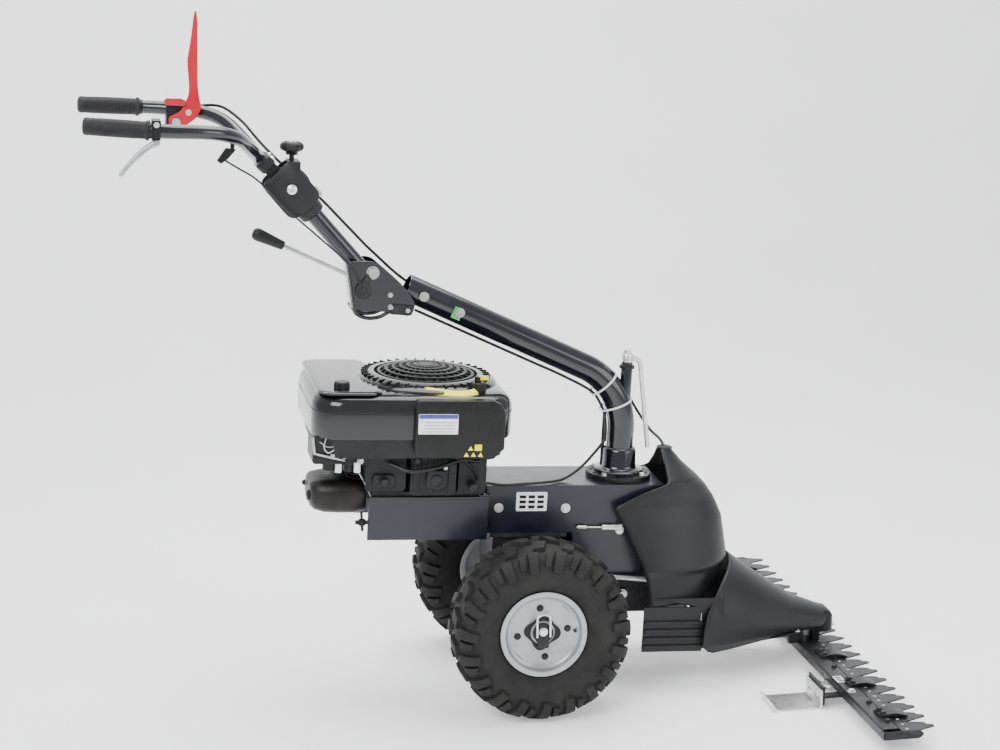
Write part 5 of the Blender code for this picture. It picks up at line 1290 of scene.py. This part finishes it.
merge(drive, moved(lathe([(0, -0.006), (0.0055, -0.006), (0.0055, 0.006), (0, 0.006)], 24, "Y"),
                   (-0.7665, -0.204, 0.94)))
add("drive_lever_cast", drive, lever_alloy, "drive_clutch", "lever_alloy", stands_for=["drive_lever"],
    sharp=50)
clamps = bmesh.new()
for spot, direction in (((-0.769, -0.2203, 0.974), (0, -1, 0)), ((-0.769, -0.1817, 0.974), (0, 1, 0)),
                        ((-0.708, 0.2123, 0.97), (0, 1, 0)), ((-0.708, 0.195, 0.9767), (0, 0, 1))):
    merge(clamps, hex_bolt(0.0038, 0.0034, spot, direction, 1.4))
add("clamp_screws", clamps, zinc_plate, "handlebar", "zinc", bevel=0.0003)
stem = tube([(-0.622, -0.125, 0.9175), (-0.622, -0.125, 0.94)], 0.0042, 18)
add("reverse_lever_stem", stem, engine_plastic, "handlebar", "black_plastic")
print("levers done")

# %% [markdown]
# ## Hood and guards
# Three mouldings cover the front: a domed hood over the gearbox, an apron under it, and a wing
# that hides the drive of the bar. The hood and the wing are thin skins: each starts as a grid of
# points in horizontal rings and is given a wall afterwards, so that its rim shows its thickness.
# The apron is the frame's own solid, given a finish and a rounded edge.

# %% Hood
SKIN_WALL = 0.003
HOOD = ((0.015, 0.247, 0.43, 0.142), (0.05, 0.242, 0.431, 0.1375), (0.074, 0.236, 0.4325, 0.135),
        (0.083, 0.232, 0.4405, 0.14), (0.1, 0.226, 0.44, 0.134),
        (0.172, 0.191, 0.426, 0.112), (0.21, 0.172, 0.407, 0.098), (0.238, 0.23, 0.386, 0.093),
        (0.256, 0.286, 0.368, 0.082), (0.285, 0.287, 0.333, 0.047), (0.314, 0.285, 0.306, 0.014))


def between(levels, height):
    for low, high in zip(levels, levels[1:]):
        if height <= high[0]:
            t = (height - low[0]) / (high[0] - low[0])
            return [a + (b - a) * t for a, b in zip(low[1:], high[1:])]
    return list(levels[-1][1:])


def hood_shape(rows=60, columns=48):
    shape = bmesh.new()
    grid = []
    for i in range(rows + 1):
        ring = []
        for j in range(columns + 1):
            theta = math.radians(-90 + 180 * j / columns)
            ease = max(0.0, 1 - abs(math.degrees(theta)) / 60)
            ease = ease * ease * (3 - 2 * ease)
            floor = HOOD[0][0] + 0.08 * ease
            height = floor + (HOOD[-1][0] - floor) * (i / rows)
            rear, front, half = between(HOOD, height)
            ring.append(shape.verts.new((rear + (front - rear) * math.cos(theta), half * math.sin(theta),
                                         height)))
        grid.append(ring)
    join_rows(shape, grid)
    return shape


add("hood_moulding", hood_shape(), moulded_plastic, "chassis", "black_plastic", stands_for=["hood"],
    thick=SKIN_WALL, sharp=70)
top = lathe([(0.0035, 0.314), (0.016, 0.311), (0.0165, 0.315), (0.012, 0.317), (0.0035, 0.317)], 32)
add("hood_grommet", moved(top, (0.2955, 0, -0.0015)), engine_plastic, "chassis", "black_plastic", sharp=40)
print("hood done")

# %% Apron and bar guard
dress("lower_apron", moulded_plastic, 0.0015)
apron_ribs_and_shade_fill = bmesh.new()
for k in range(4):
    z = -0.076 + k * 0.017
    for side in (-1, 1):
        low, high = span(side, 0.142, 0.146)
        merge(apron_ribs_and_shade_fill, block((0.237, low, z), (0.37, high, z + 0.008)))
    if k < 3:
        merge(apron_ribs_and_shade_fill, block((0.361, -0.142, z), (0.366, 0.142, z + 0.008)))
# Each side also gets a dark plate between the hood and the ribs: a sheet of painted shade filling that gap, while the
# blocks above are real ribs.
for side in (-1, 1):
    low, high = span(side, 0.138, 0.1422)
    merge(apron_ribs_and_shade_fill, plate([(0.358, -0.08), (0.395, -0.064), (0.408, -0.02), (0.405, 0.03), (0.26, 0.03),
                             (0.358, 0.01)], low, high))
add("apron_ribs_and_shade_fill", apron_ribs_and_shade_fill, dark_steel, "chassis", "black_plastic", bevel=0.0012)

GUARD = ((0.355, 0.45, 0.165, 0.245), (0.42, 0.5, 0.142, 0.206), (0.49, 0.552, 0.11, 0.168),
         (0.55, 0.598, 0.082, 0.137), (0.605, 0.645, 0.062, 0.118), (0.645, 0.672, 0.048, 0.108),
         (0.66, 0.678, 0.03, 0.098))


def guard_shape(columns=48, per_span=6):
    stations = smooth_route([(k, 0, 0) for k in range(len(GUARD))], per_span)
    shape = bmesh.new()
    grid = []
    for spot in stations:
        place = min(max(spot.x, 0.0), len(GUARD) - 1.0)
        i = min(int(place), len(GUARD) - 2)
        t = place - i
        side_x, top_x, half, top_z = [a + (b - a) * t for a, b in zip(GUARD[i], GUARD[i + 1])]
        ring = []
        for j in range(columns + 1):
            theta = math.radians(-90 + 180 * j / columns)
            upright = max(0.0, math.cos(theta))
            drawn = upright ** 1.9 + (upright ** 0.8 - upright ** 1.9) * min(1.0, place / 4)
            foot = 0.078 + 0.016 * max(0.0, 1 - place / 0.35) ** 2
            ring.append(shape.verts.new((side_x + (top_x - side_x) * drawn, half * math.sin(theta),
                                         foot + (top_z - foot) * upright ** 0.8)))
        grid.append(ring)
    join_rows(shape, grid)
    nose = shape.verts.new((0.662, 0.0, 0.079))
    for j in range(columns):
        shape.faces.new((grid[-1][j], grid[-1][j + 1], nose))
    return shape


add("bar_guard_moulding", guard_shape(), moulded_plastic, "chassis", "black_plastic", LEVEL,
    stands_for=["bar_guard"], thick=SKIN_WALL, sharp=70)
guard_bolts = bmesh.new()
for side in (-1, 1):
    for x, y in ((0.588, 0.064), (0.601, 0.05)):
        merge(guard_bolts, hex_bolt(0.0058, 0.0075, (x, side * y, 0.0785), (0, 0, 1), 1.3))
    merge(guard_bolts, hex_bolt(0.0048, 0.005, (0.68, side * 0.02, 0.074), (1, 0, 0), 1.3))
nose = []
for z, inset in ((0.0625, 0.002), (0.064, 0.0), (0.096, 0.0), (0.104, 0.004), (0.108, 0.011)):
    nose.append([(x, y, z) for x,
                 y in rounded((0.64 + inset, -0.037 + inset), (0.6805 - inset, 0.037 - inset), 0.014, 6)])
add("guard_nose", skin(nose), dark_steel, "chassis", "black_plastic", LEVEL, bevel=0.001)
add("guard_bolts", guard_bolts, zinc_plate, "chassis", "zinc", LEVEL, bevel=0.0004)
print("apron and guard done")

# %% [markdown]
# ## The cutter bar
# A flat beam carries a comb of pointed guards, and a knife of triangular sections slides in
# their slots. The guards are forged: each finger is a tapered pair of lips round the knife. The
# knife sections have serrated edges and two rivets each. Both repeat at the same pitch, so one
# finger and one section are drawn and set out along the bar.

# %% Fingers
PITCH = 0.0508
SECTIONS = 22
BAR_END = 0.5548
COMB_LOW, COMB_HIGH = 0.0353, 0.0393
RAIL_TOP = 0.0466
CLIP_PLACES = (0.13, 0.3, 0.47)
SKID_Y, SKID_HALF = 0.265, 0.045


def finger(y):
    rows = []
    for x, half, low, high in ((0.61, 0.015, 0.0353, 0.0393), (0.64, 0.0135, 0.0351, 0.0393),
                               (0.656, 0.01, 0.0345, 0.0393), (0.67, 0.0072, 0.0335, 0.0393),
                               (0.686, 0.005, 0.033, 0.0392), (0.696, 0.003, 0.0335, 0.0386),
                               (0.6998, 0.0012, 0.035, 0.0378)):
        rows.append([(x, y + half, high), (x, y - half, high), (x, y - half * 0.75, low),
                     (x, y + half * 0.75, low)])
    return skin(rows)


fingers = bmesh.new()
for k in range(SECTIONS - 1):
    merge(fingers, finger((k - (SECTIONS - 2) / 2) * PITCH))
for side in (-1, 1):
    low, high = span(side, 0.542, BAR_END)
    merge(fingers, block((0.612, low, COMB_LOW), (0.664, high, COMB_HIGH)))
merge(fingers, plate([(0.6125, 0.0353), (0.6125, 0.0393), (0.66, 0.0393), (0.66, 0.0355)], -0.5546, 0.5546))
add("forged_fingers", fingers, bar_paint, "chassis", "bar_steel", LEVEL, stands_for=["finger_comb"],
    bevel=0.0006)
print("fingers:", SECTIONS - 1)

# %% Knife sections and rivets
KNIFE_LOW, KNIFE_HIGH = 0.0396, 0.0436


def section(y):
    """A trapezoid blade whose two slanting edges are serrated."""
    root, tip, half_root, half_tip = 0.66, 0.7066, 0.0238, 0.0042
    teeth = 9
    left = []
    for k in range(teeth):
        a, b = k / teeth, (k + 0.75) / teeth
        for t, notch in ((a, 0.0), (b, 0.0), (b + 0.02, 0.001)):
            left.append((root + (tip - root) * min(t, 1.0),
                         half_root + (half_tip - half_root) * min(t, 1.0) - notch))
    left.append((tip, half_tip))
    outline = [(x, y + w) for x, w in left] + [(x, y - w) for x, w in reversed(left)]
    return plate(outline, KNIFE_LOW + 0.0004, KNIFE_HIGH - 0.0006, "XY")


knife = block((0.6345, -0.5534, KNIFE_LOW), (0.65, 0.5534, KNIFE_HIGH))
rivets = bmesh.new()
for k in range(SECTIONS):
    y = (k - (SECTIONS - 1) / 2) * PITCH
    merge(knife, section(y))
    merge(knife, block((0.645, y - 0.0246, KNIFE_LOW + 0.0004), (0.6604, y + 0.0246, KNIFE_HIGH - 0.0006)))
    for offset in (-0.012, 0.012):
        head = lathe([(0, 0), (0.0034, 0), (0.0032, 0.0007), (0.0018, 0.0013), (0, 0.0015)], 16)
        merge(rivets, moved(head, (0.648, y + offset, KNIFE_HIGH - 0.0002)))
for side in (-1, 1):
    low, high = span(side, 0.0098, 0.0168)
    merge(knife, block((0.64, low, KNIFE_HIGH - 0.002), (0.656, high, 0.06)))
add("serrated_knife", knife, knife_steel, "knife_bar", "bar_steel", LEVEL, stands_for=["knife"],
    bevel=0.0003)
add("knife_rivets", rivets, bare_steel, "knife_bar", "bright_steel", LEVEL)
print("knife sections:", SECTIONS)

# %% [markdown]
# The knife is held down by a flat rail and a few bent clips, bolted through the beam. The clips
# rise over the knife and press on it from above, so each is an arched strip.

# %% Rail, clips and bolts
rail = plate([(0.6135, 0.0396), (0.6305, 0.0396), (0.6305, 0.0462), (0.6295, RAIL_TOP), (0.599, RAIL_TOP),
              (0.5985, 0.0434),
              (0.6135, 0.0434)], -0.5468, 0.5468)
add("knife_rail", rail, bar_paint, "chassis", "bar_steel", LEVEL, stands_for=["knife_clamp_rail"],
    bevel=0.0006)
clips, clip_bolts = bmesh.new(), bmesh.new()
for place in CLIP_PLACES:
    for y in (-place, place):
        top = [(0.615, RAIL_TOP), (0.615, 0.0498), (0.633, 0.053), (0.648, 0.0535), (0.662, 0.0505),
               (0.672, 0.047),
               (0.672, 0.0442), (0.66, 0.0454), (0.648, 0.047), (0.632, 0.047)]
        merge(clips, plate(top, y - 0.019, y + 0.019))
        for offset in (-0.0105, 0.0105):
            merge(clip_bolts, hex_bolt(0.0058, 0.006, (0.623, y + offset, 0.0506), (0.18, 0, 1), 1.3))
for k in range(11):
    y = (k - 5) * 2 * PITCH
    if abs(y) > 0.05 and min(abs(abs(y) - place) for place in CLIP_PLACES) > 0.026:
        merge(clip_bolts, hex_bolt(0.0052, 0.0042, (0.623, y, 0.0465), (0, 0, 1), 1.25))
add("knife_clips", clips, bar_paint, "chassis", "bar_steel", LEVEL, bevel=0.0008)
add("clip_bolts", clip_bolts, cast_grey, "chassis", "bar_steel", LEVEL, bevel=0.0004)
bright_bolts = bmesh.new()
for side in (-1, 1):
    merge(bright_bolts, hex_bolt(0.0062, 0.0055, (0.609, side * 0.345, 0.0465), (0, 0, 1), 1.35))
    y = side * SKID_Y
    merge(bright_bolts, block((0.5675, y - 0.034, 0.0287), (0.5975, y + 0.034, 0.0312)))
    for offset in (-0.019, 0.019):
        merge(bright_bolts, hex_bolt(0.0062, 0.006, (0.582, y + offset, 0.0311), (0, 0, 1), 1.35))
add("bar_bright_bolts", bright_bolts, zinc_plate, "chassis", "zinc", LEVEL, bevel=0.0004)
add("bar_label", block((0.6, -0.29, RAIL_TOP), (0.6175, -0.256, 0.047)), label_white, "chassis",
    "bar_steel", LEVEL)
marks = bmesh.new()
for k in range(3):
    y = -0.286 + k * 0.0098
    merge(marks, block((0.603, y, 0.047), (0.6145, y + 0.0065, 0.0472)))
add("bar_label_marks", marks, dark_steel, "chassis", "dark_steel", LEVEL)
ends = bmesh.new()
for side in (-1, 1):
    low, high = span(side, BAR_END, 0.5575)
    merge(ends, plate(soften([(0.6, 0.0275), (0.67, 0.0275), (0.68, 0.036), (0.67, 0.044), (0.6, 0.044)],
                             0.004), low, high))
add("bar_ends", ends, bar_paint, "chassis", "bar_steel", LEVEL, bevel=0.0005)
print("rail and clips done")

# %% Skids with their bolts
for label, side in (("left", 1), ("right", -1)):
    y = side * SKID_Y
    outline = [(0.46, 0.015), (0.46, 0.0085), (0.462, 0.0036), (0.468, 0.001), (0.476, 0.0), (0.556, 0.0),
            (0.56, 0.001), (0.5616, 0.004), (0.5618, 0.01), (0.5618, 0.038), (0.56, 0.0402), (0.558, 0.038),
            (0.5578, 0.0085), (0.556, 0.0045), (0.552, 0.0034), (0.478, 0.0034), (0.47, 0.0046),
               (0.465, 0.007),
            (0.4618, 0.011), (0.4605, 0.016)]
    skid = plate(outline, y - SKID_HALF, y + SKID_HALF)
    add(f"folded_skid_{label}", skid, zinc_plate, f"{label}_skid", "zinc", LEVEL,
        stands_for=[f"skid_{label}"],
        bevel=0.0006, sharp=50)
    skid_bolts = bmesh.new()
    for offset in (-0.026, 0.026):
        merge(skid_bolts, hex_bolt(0.007, 0.006, (0.5578, y + offset, 0.025), (-1, 0, 0), 1.35))
    add(f"skid_bolts_{label}", skid_bolts, zinc_plate, f"{label}_skid", "zinc", LEVEL, bevel=0.0004)
base = plate(soften([(0.43, -0.125), (0.585, -0.076), (0.611, -0.056), (0.611, 0.056), (0.585, 0.076),
                     (0.43, 0.125)], 0.012), 0.0765, 0.0785, "XY")
add("carrier_foot", base, cast_grey, "chassis", "cast_iron", LEVEL, bevel=0.0006)
print("skids done")

# %% [markdown]
# ## Cables
# Three black cables run from the levers to the column and on to the hood and the engine. Clips
# hold them, so their route is known. Where a cable crosses a joint it bends, so one smooth tube
# is drawn over the joint and its points follow one body before the joint and the other after.

# %% Cables over the joints
CABLE, THIN_CABLE = 0.003, 0.002
CLUTCH = [(-0.6845, 0.207, 0.957), (-0.66, 0.204, 0.966), (-0.62, 0.165, 0.97), (-0.585, 0.108, 0.95),
          (-0.555, 0.064, 0.918), (-0.53, 0.048, 0.893), (-0.501, 0.0375, 0.8675), (-0.4727, 0.037, 0.8439),
          (-0.4292, 0.0365, 0.8067), (-0.3715, 0.0365, 0.7501), (-0.32, 0.037, 0.701),
          (-0.2461, 0.037, 0.642),
          (-0.148, 0.035, 0.602), (0.02, 0.034, 0.535), (0.1, 0.034, 0.496), (0.165, 0.0345, 0.456),
          (0.2068, 0.0365, 0.4278), (0.226, 0.049, 0.408), (0.25, 0.059, 0.374), (0.274, 0.048, 0.34),
          (0.29, 0.02, 0.325), (0.296, 0.002, 0.312)]


def cable(name, points, radius, stands_for):
    return add(name, tube(smooth_route(points, 8), radius, 16), cable_sheath, "", "cable_sheath",
               stands_for=stands_for, sharp=60, ride=False)


def spot(point):
    return tuple(CHASSIS @ Vector(point))


upper = cable("clutch_cable_top", CLUTCH[:13], CABLE, ["clutch_cable_upper"])
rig.blend(upper, "handlebar", "column", start=spot(CLUTCH[4]), end=spot(CLUTCH[8]))
lower = cable("clutch_cable_low", CLUTCH[12:], CABLE, ["clutch_cable_column", "clutch_cable_hood"])
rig.blend(lower, "column", "chassis", start=spot(CLUTCH[15]), end=spot(CLUTCH[19]))

THROTTLE = [(-0.096, -0.1, 0.264), (-0.06, -0.091, 0.2575), (-0.02, -0.08, 0.2562), (0.035, -0.066, 0.2562),
            (0.0746, -0.045, 0.2575), (0.112, -0.028, 0.276), (0.14, -0.017, 0.301),
            (0.164, -0.0085, 0.327)]
engine_end = cable("throttle_cable_low", THROTTLE, CABLE, ["throttle_cable_engine"])
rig.blend(engine_end, "chassis", "column", start=spot(THROTTLE[3]), end=spot(THROTTLE[7]))
CABLE_GAP = 0.0035
DROP = COLUMN_RADIUS + CABLE + CABLE_GAP
climb = [column_point(distance, DROP, -0.008) for distance in (0.465, 0.38, 0.29, 0.2, 0.13)]
climb += [Vector((COLUMN_X - BEND + (BEND - DROP) * math.cos(math.radians(a)), -0.008,
                  bend_low + (BEND - DROP) * math.sin(math.radians(a)))) for a in (50, 32, 15, 0)]
climb.append(Vector((COLUMN_X - DROP, -0.008, 0.327)))
add("throttle_cable_climb", tube(smooth_route(climb, 8), CABLE, 16), cable_sheath, "column", "cable_sheath",
    stands_for=["throttle_cable_column"], sharp=60)
REVERSE = [(-0.633, -0.1165, 0.8985), (-0.605, -0.096, 0.881), (-0.575, -0.069, 0.862),
           (-0.5455, -0.043, 0.836),
           (-0.525, -0.04, 0.815), (-0.4986, -0.04, 0.7907), (-0.4384, -0.04, 0.7408), (-0.39, -0.04, 0.7),
           (-0.365, -0.04, 0.67), (-0.35, -0.04, 0.635)]
thin = cable("reverse_cable_thin", REVERSE, THIN_CABLE, ["reverse_cable"])
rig.blend(thin, "handlebar", "column", start=spot(REVERSE[2]), end=spot(REVERSE[6]))

ties = bmesh.new()
for angle in (math.radians(22), math.radians(44)):
    middle = Vector((COLUMN_X - BEND + BEND * math.cos(angle), 0, bend_low + BEND * math.sin(angle)))
    heading = Vector((-math.sin(angle), 0, math.cos(angle)))
    inward = Vector((-math.cos(angle), 0, -math.sin(angle)))
    loop = []
    for k in range(44):
        turn_by = 2 * math.pi * k / 44
        deep = 0.0385 if math.cos(turn_by) > 0 else 0.0288
        wide = 0.039 if math.sin(turn_by) > 0 else 0.0288
        loop.append(middle + inward * deep * math.cos(turn_by) + Vector((0, wide * math.sin(turn_by), 0)))
    rows = []
    for p in loop:
        wide, thick = heading * 0.002, (p - middle).normalized() * 0.0011
        rows.append([p - wide, p + wide, p + wide + thick, p - wide + thick])
    merge(ties, skin(rows + rows[:1], closed_ends=False))
add("cable_ties", ties, clear_tie, "column", "cable_sheath", bevel=0.0002)
holder_spot = Vector(CLUTCH[7]) * 0.35 + Vector(CLUTCH[8]) * 0.65
clip = plate(rounded((-0.011, -0.008), (0.011, 0.008), 0.003, 4), 0.0312, 0.042)
add("cable_holder",
    moved(clip, (holder_spot.x + 0.004, 0, holder_spot.z + 0.002), Matrix.Rotation(HANDLE_SLOPE, 4, "Y")),
    clear_tie, "column", "cable_sheath", bevel=0.0008)
ferrules = bmesh.new()
first, second = Vector(CLUTCH[0]), Vector(CLUTCH[1])
along = (second - first).normalized()
merge(ferrules, tube([first - along * 0.004, first + along * 0.018], 0.0044, 18))
add("cable_ferrules", ferrules, zinc_plate, "handlebar", "zinc", bevel=0.0003)
print("cables done")

# %% [markdown]
# ## Floor, light and camera
# The machine stands on a pale floor that curves up behind it. Three large soft lights and a
# bright surrounding keep the shadows gentle, and the black paint is drawn mostly by their
# reflections, so the lights are wide.

# %% Floor and backdrop
floor_material = finish("studio_paper", (0.9, 0.9, 0.9), (0.93, 0.93, 0.93), 0.75, patch=3, grain=60,
                        bump=0.02)
paper = floor_material.node_tree.nodes["Principled BSDF"]
paper.inputs["Emission Color"].default_value = (1.0, 1.0, 1.0, 1.0)
paper.inputs["Emission Strength"].default_value = 0.35
rows = []
for y, z in ((-7.0, 0.0), (2.2, 0.0), (2.7, 0.06), (3.1, 0.25), (3.4, 0.6), (3.55, 1.1), (3.6, 5.0)):
    rows.append([(-8.0, y, z), (8.0, y, z)])
sheet = bmesh.new()
grid = [[sheet.verts.new(point) for point in row] for row in rows]
join_rows(sheet, grid)
mesh = bpy.data.meshes.new("studio_floor")
sheet.to_mesh(mesh)
sheet.free()
mesh.shade_smooth()
mesh.materials.append(floor_material)
floor = bpy.data.objects.new("studio_floor", mesh)
bpy.context.collection.objects.link(floor)
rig.stage(floor)

# %% Lights and world
TARGET = Vector((0.0, 0.0, 0.55))


def soft_light(name, at, size, power, tint=(1.0, 1.0, 1.0)):
    lamp = bpy.data.lights.new(name, "AREA")
    lamp.shape = "RECTANGLE"
    lamp.size, lamp.size_y = size
    lamp.energy = power
    lamp.color = tint
    holder = bpy.data.objects.new(name, lamp)
    holder.location = at
    holder.rotation_euler = (TARGET - Vector(at)).to_track_quat("-Z", "Y").to_euler()
    bpy.context.collection.objects.link(holder)


soft_light("key_light", (-2.2, -2.8, 3.2), (2.4, 1.8), 170)
soft_light("fill_light", (3.2, -2.4, 1.8), (2.6, 2.0), 60)
soft_light("top_light", (0.2, 0.6, 3.4), (3.2, 2.4), 170)
world = bpy.data.worlds.new("studio")
world.use_nodes = True
world.node_tree.nodes["Background"].inputs["Color"].default_value = (0.95, 0.97, 1.0, 1.0)
world.node_tree.nodes["Background"].inputs["Strength"].default_value = 0.85
bpy.context.scene.world = world

# %% Camera
lens = bpy.data.cameras.new("camera")
lens.lens = 82.8
lens.sensor_width = 36.0
camera = bpy.data.objects.new("camera", lens)
camera.location = (-0.8667, -4.437, 1.6949)
camera.rotation_euler = (math.radians(76.95), 0.0, math.radians(-11.5))
bpy.context.collection.objects.link(camera)
bpy.context.scene.camera = camera
print("pieces:", count["pieces"])

# %% Write both boxes and finish
looks_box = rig.bounds()
with open("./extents.json", "w") as file:
    json.dump({"frame": [list(corner) for corner in frame_box],
               "looks": [list(corner) for corner in looks_box]}, file)
print("frame", frame_box)
print("looks", looks_box)
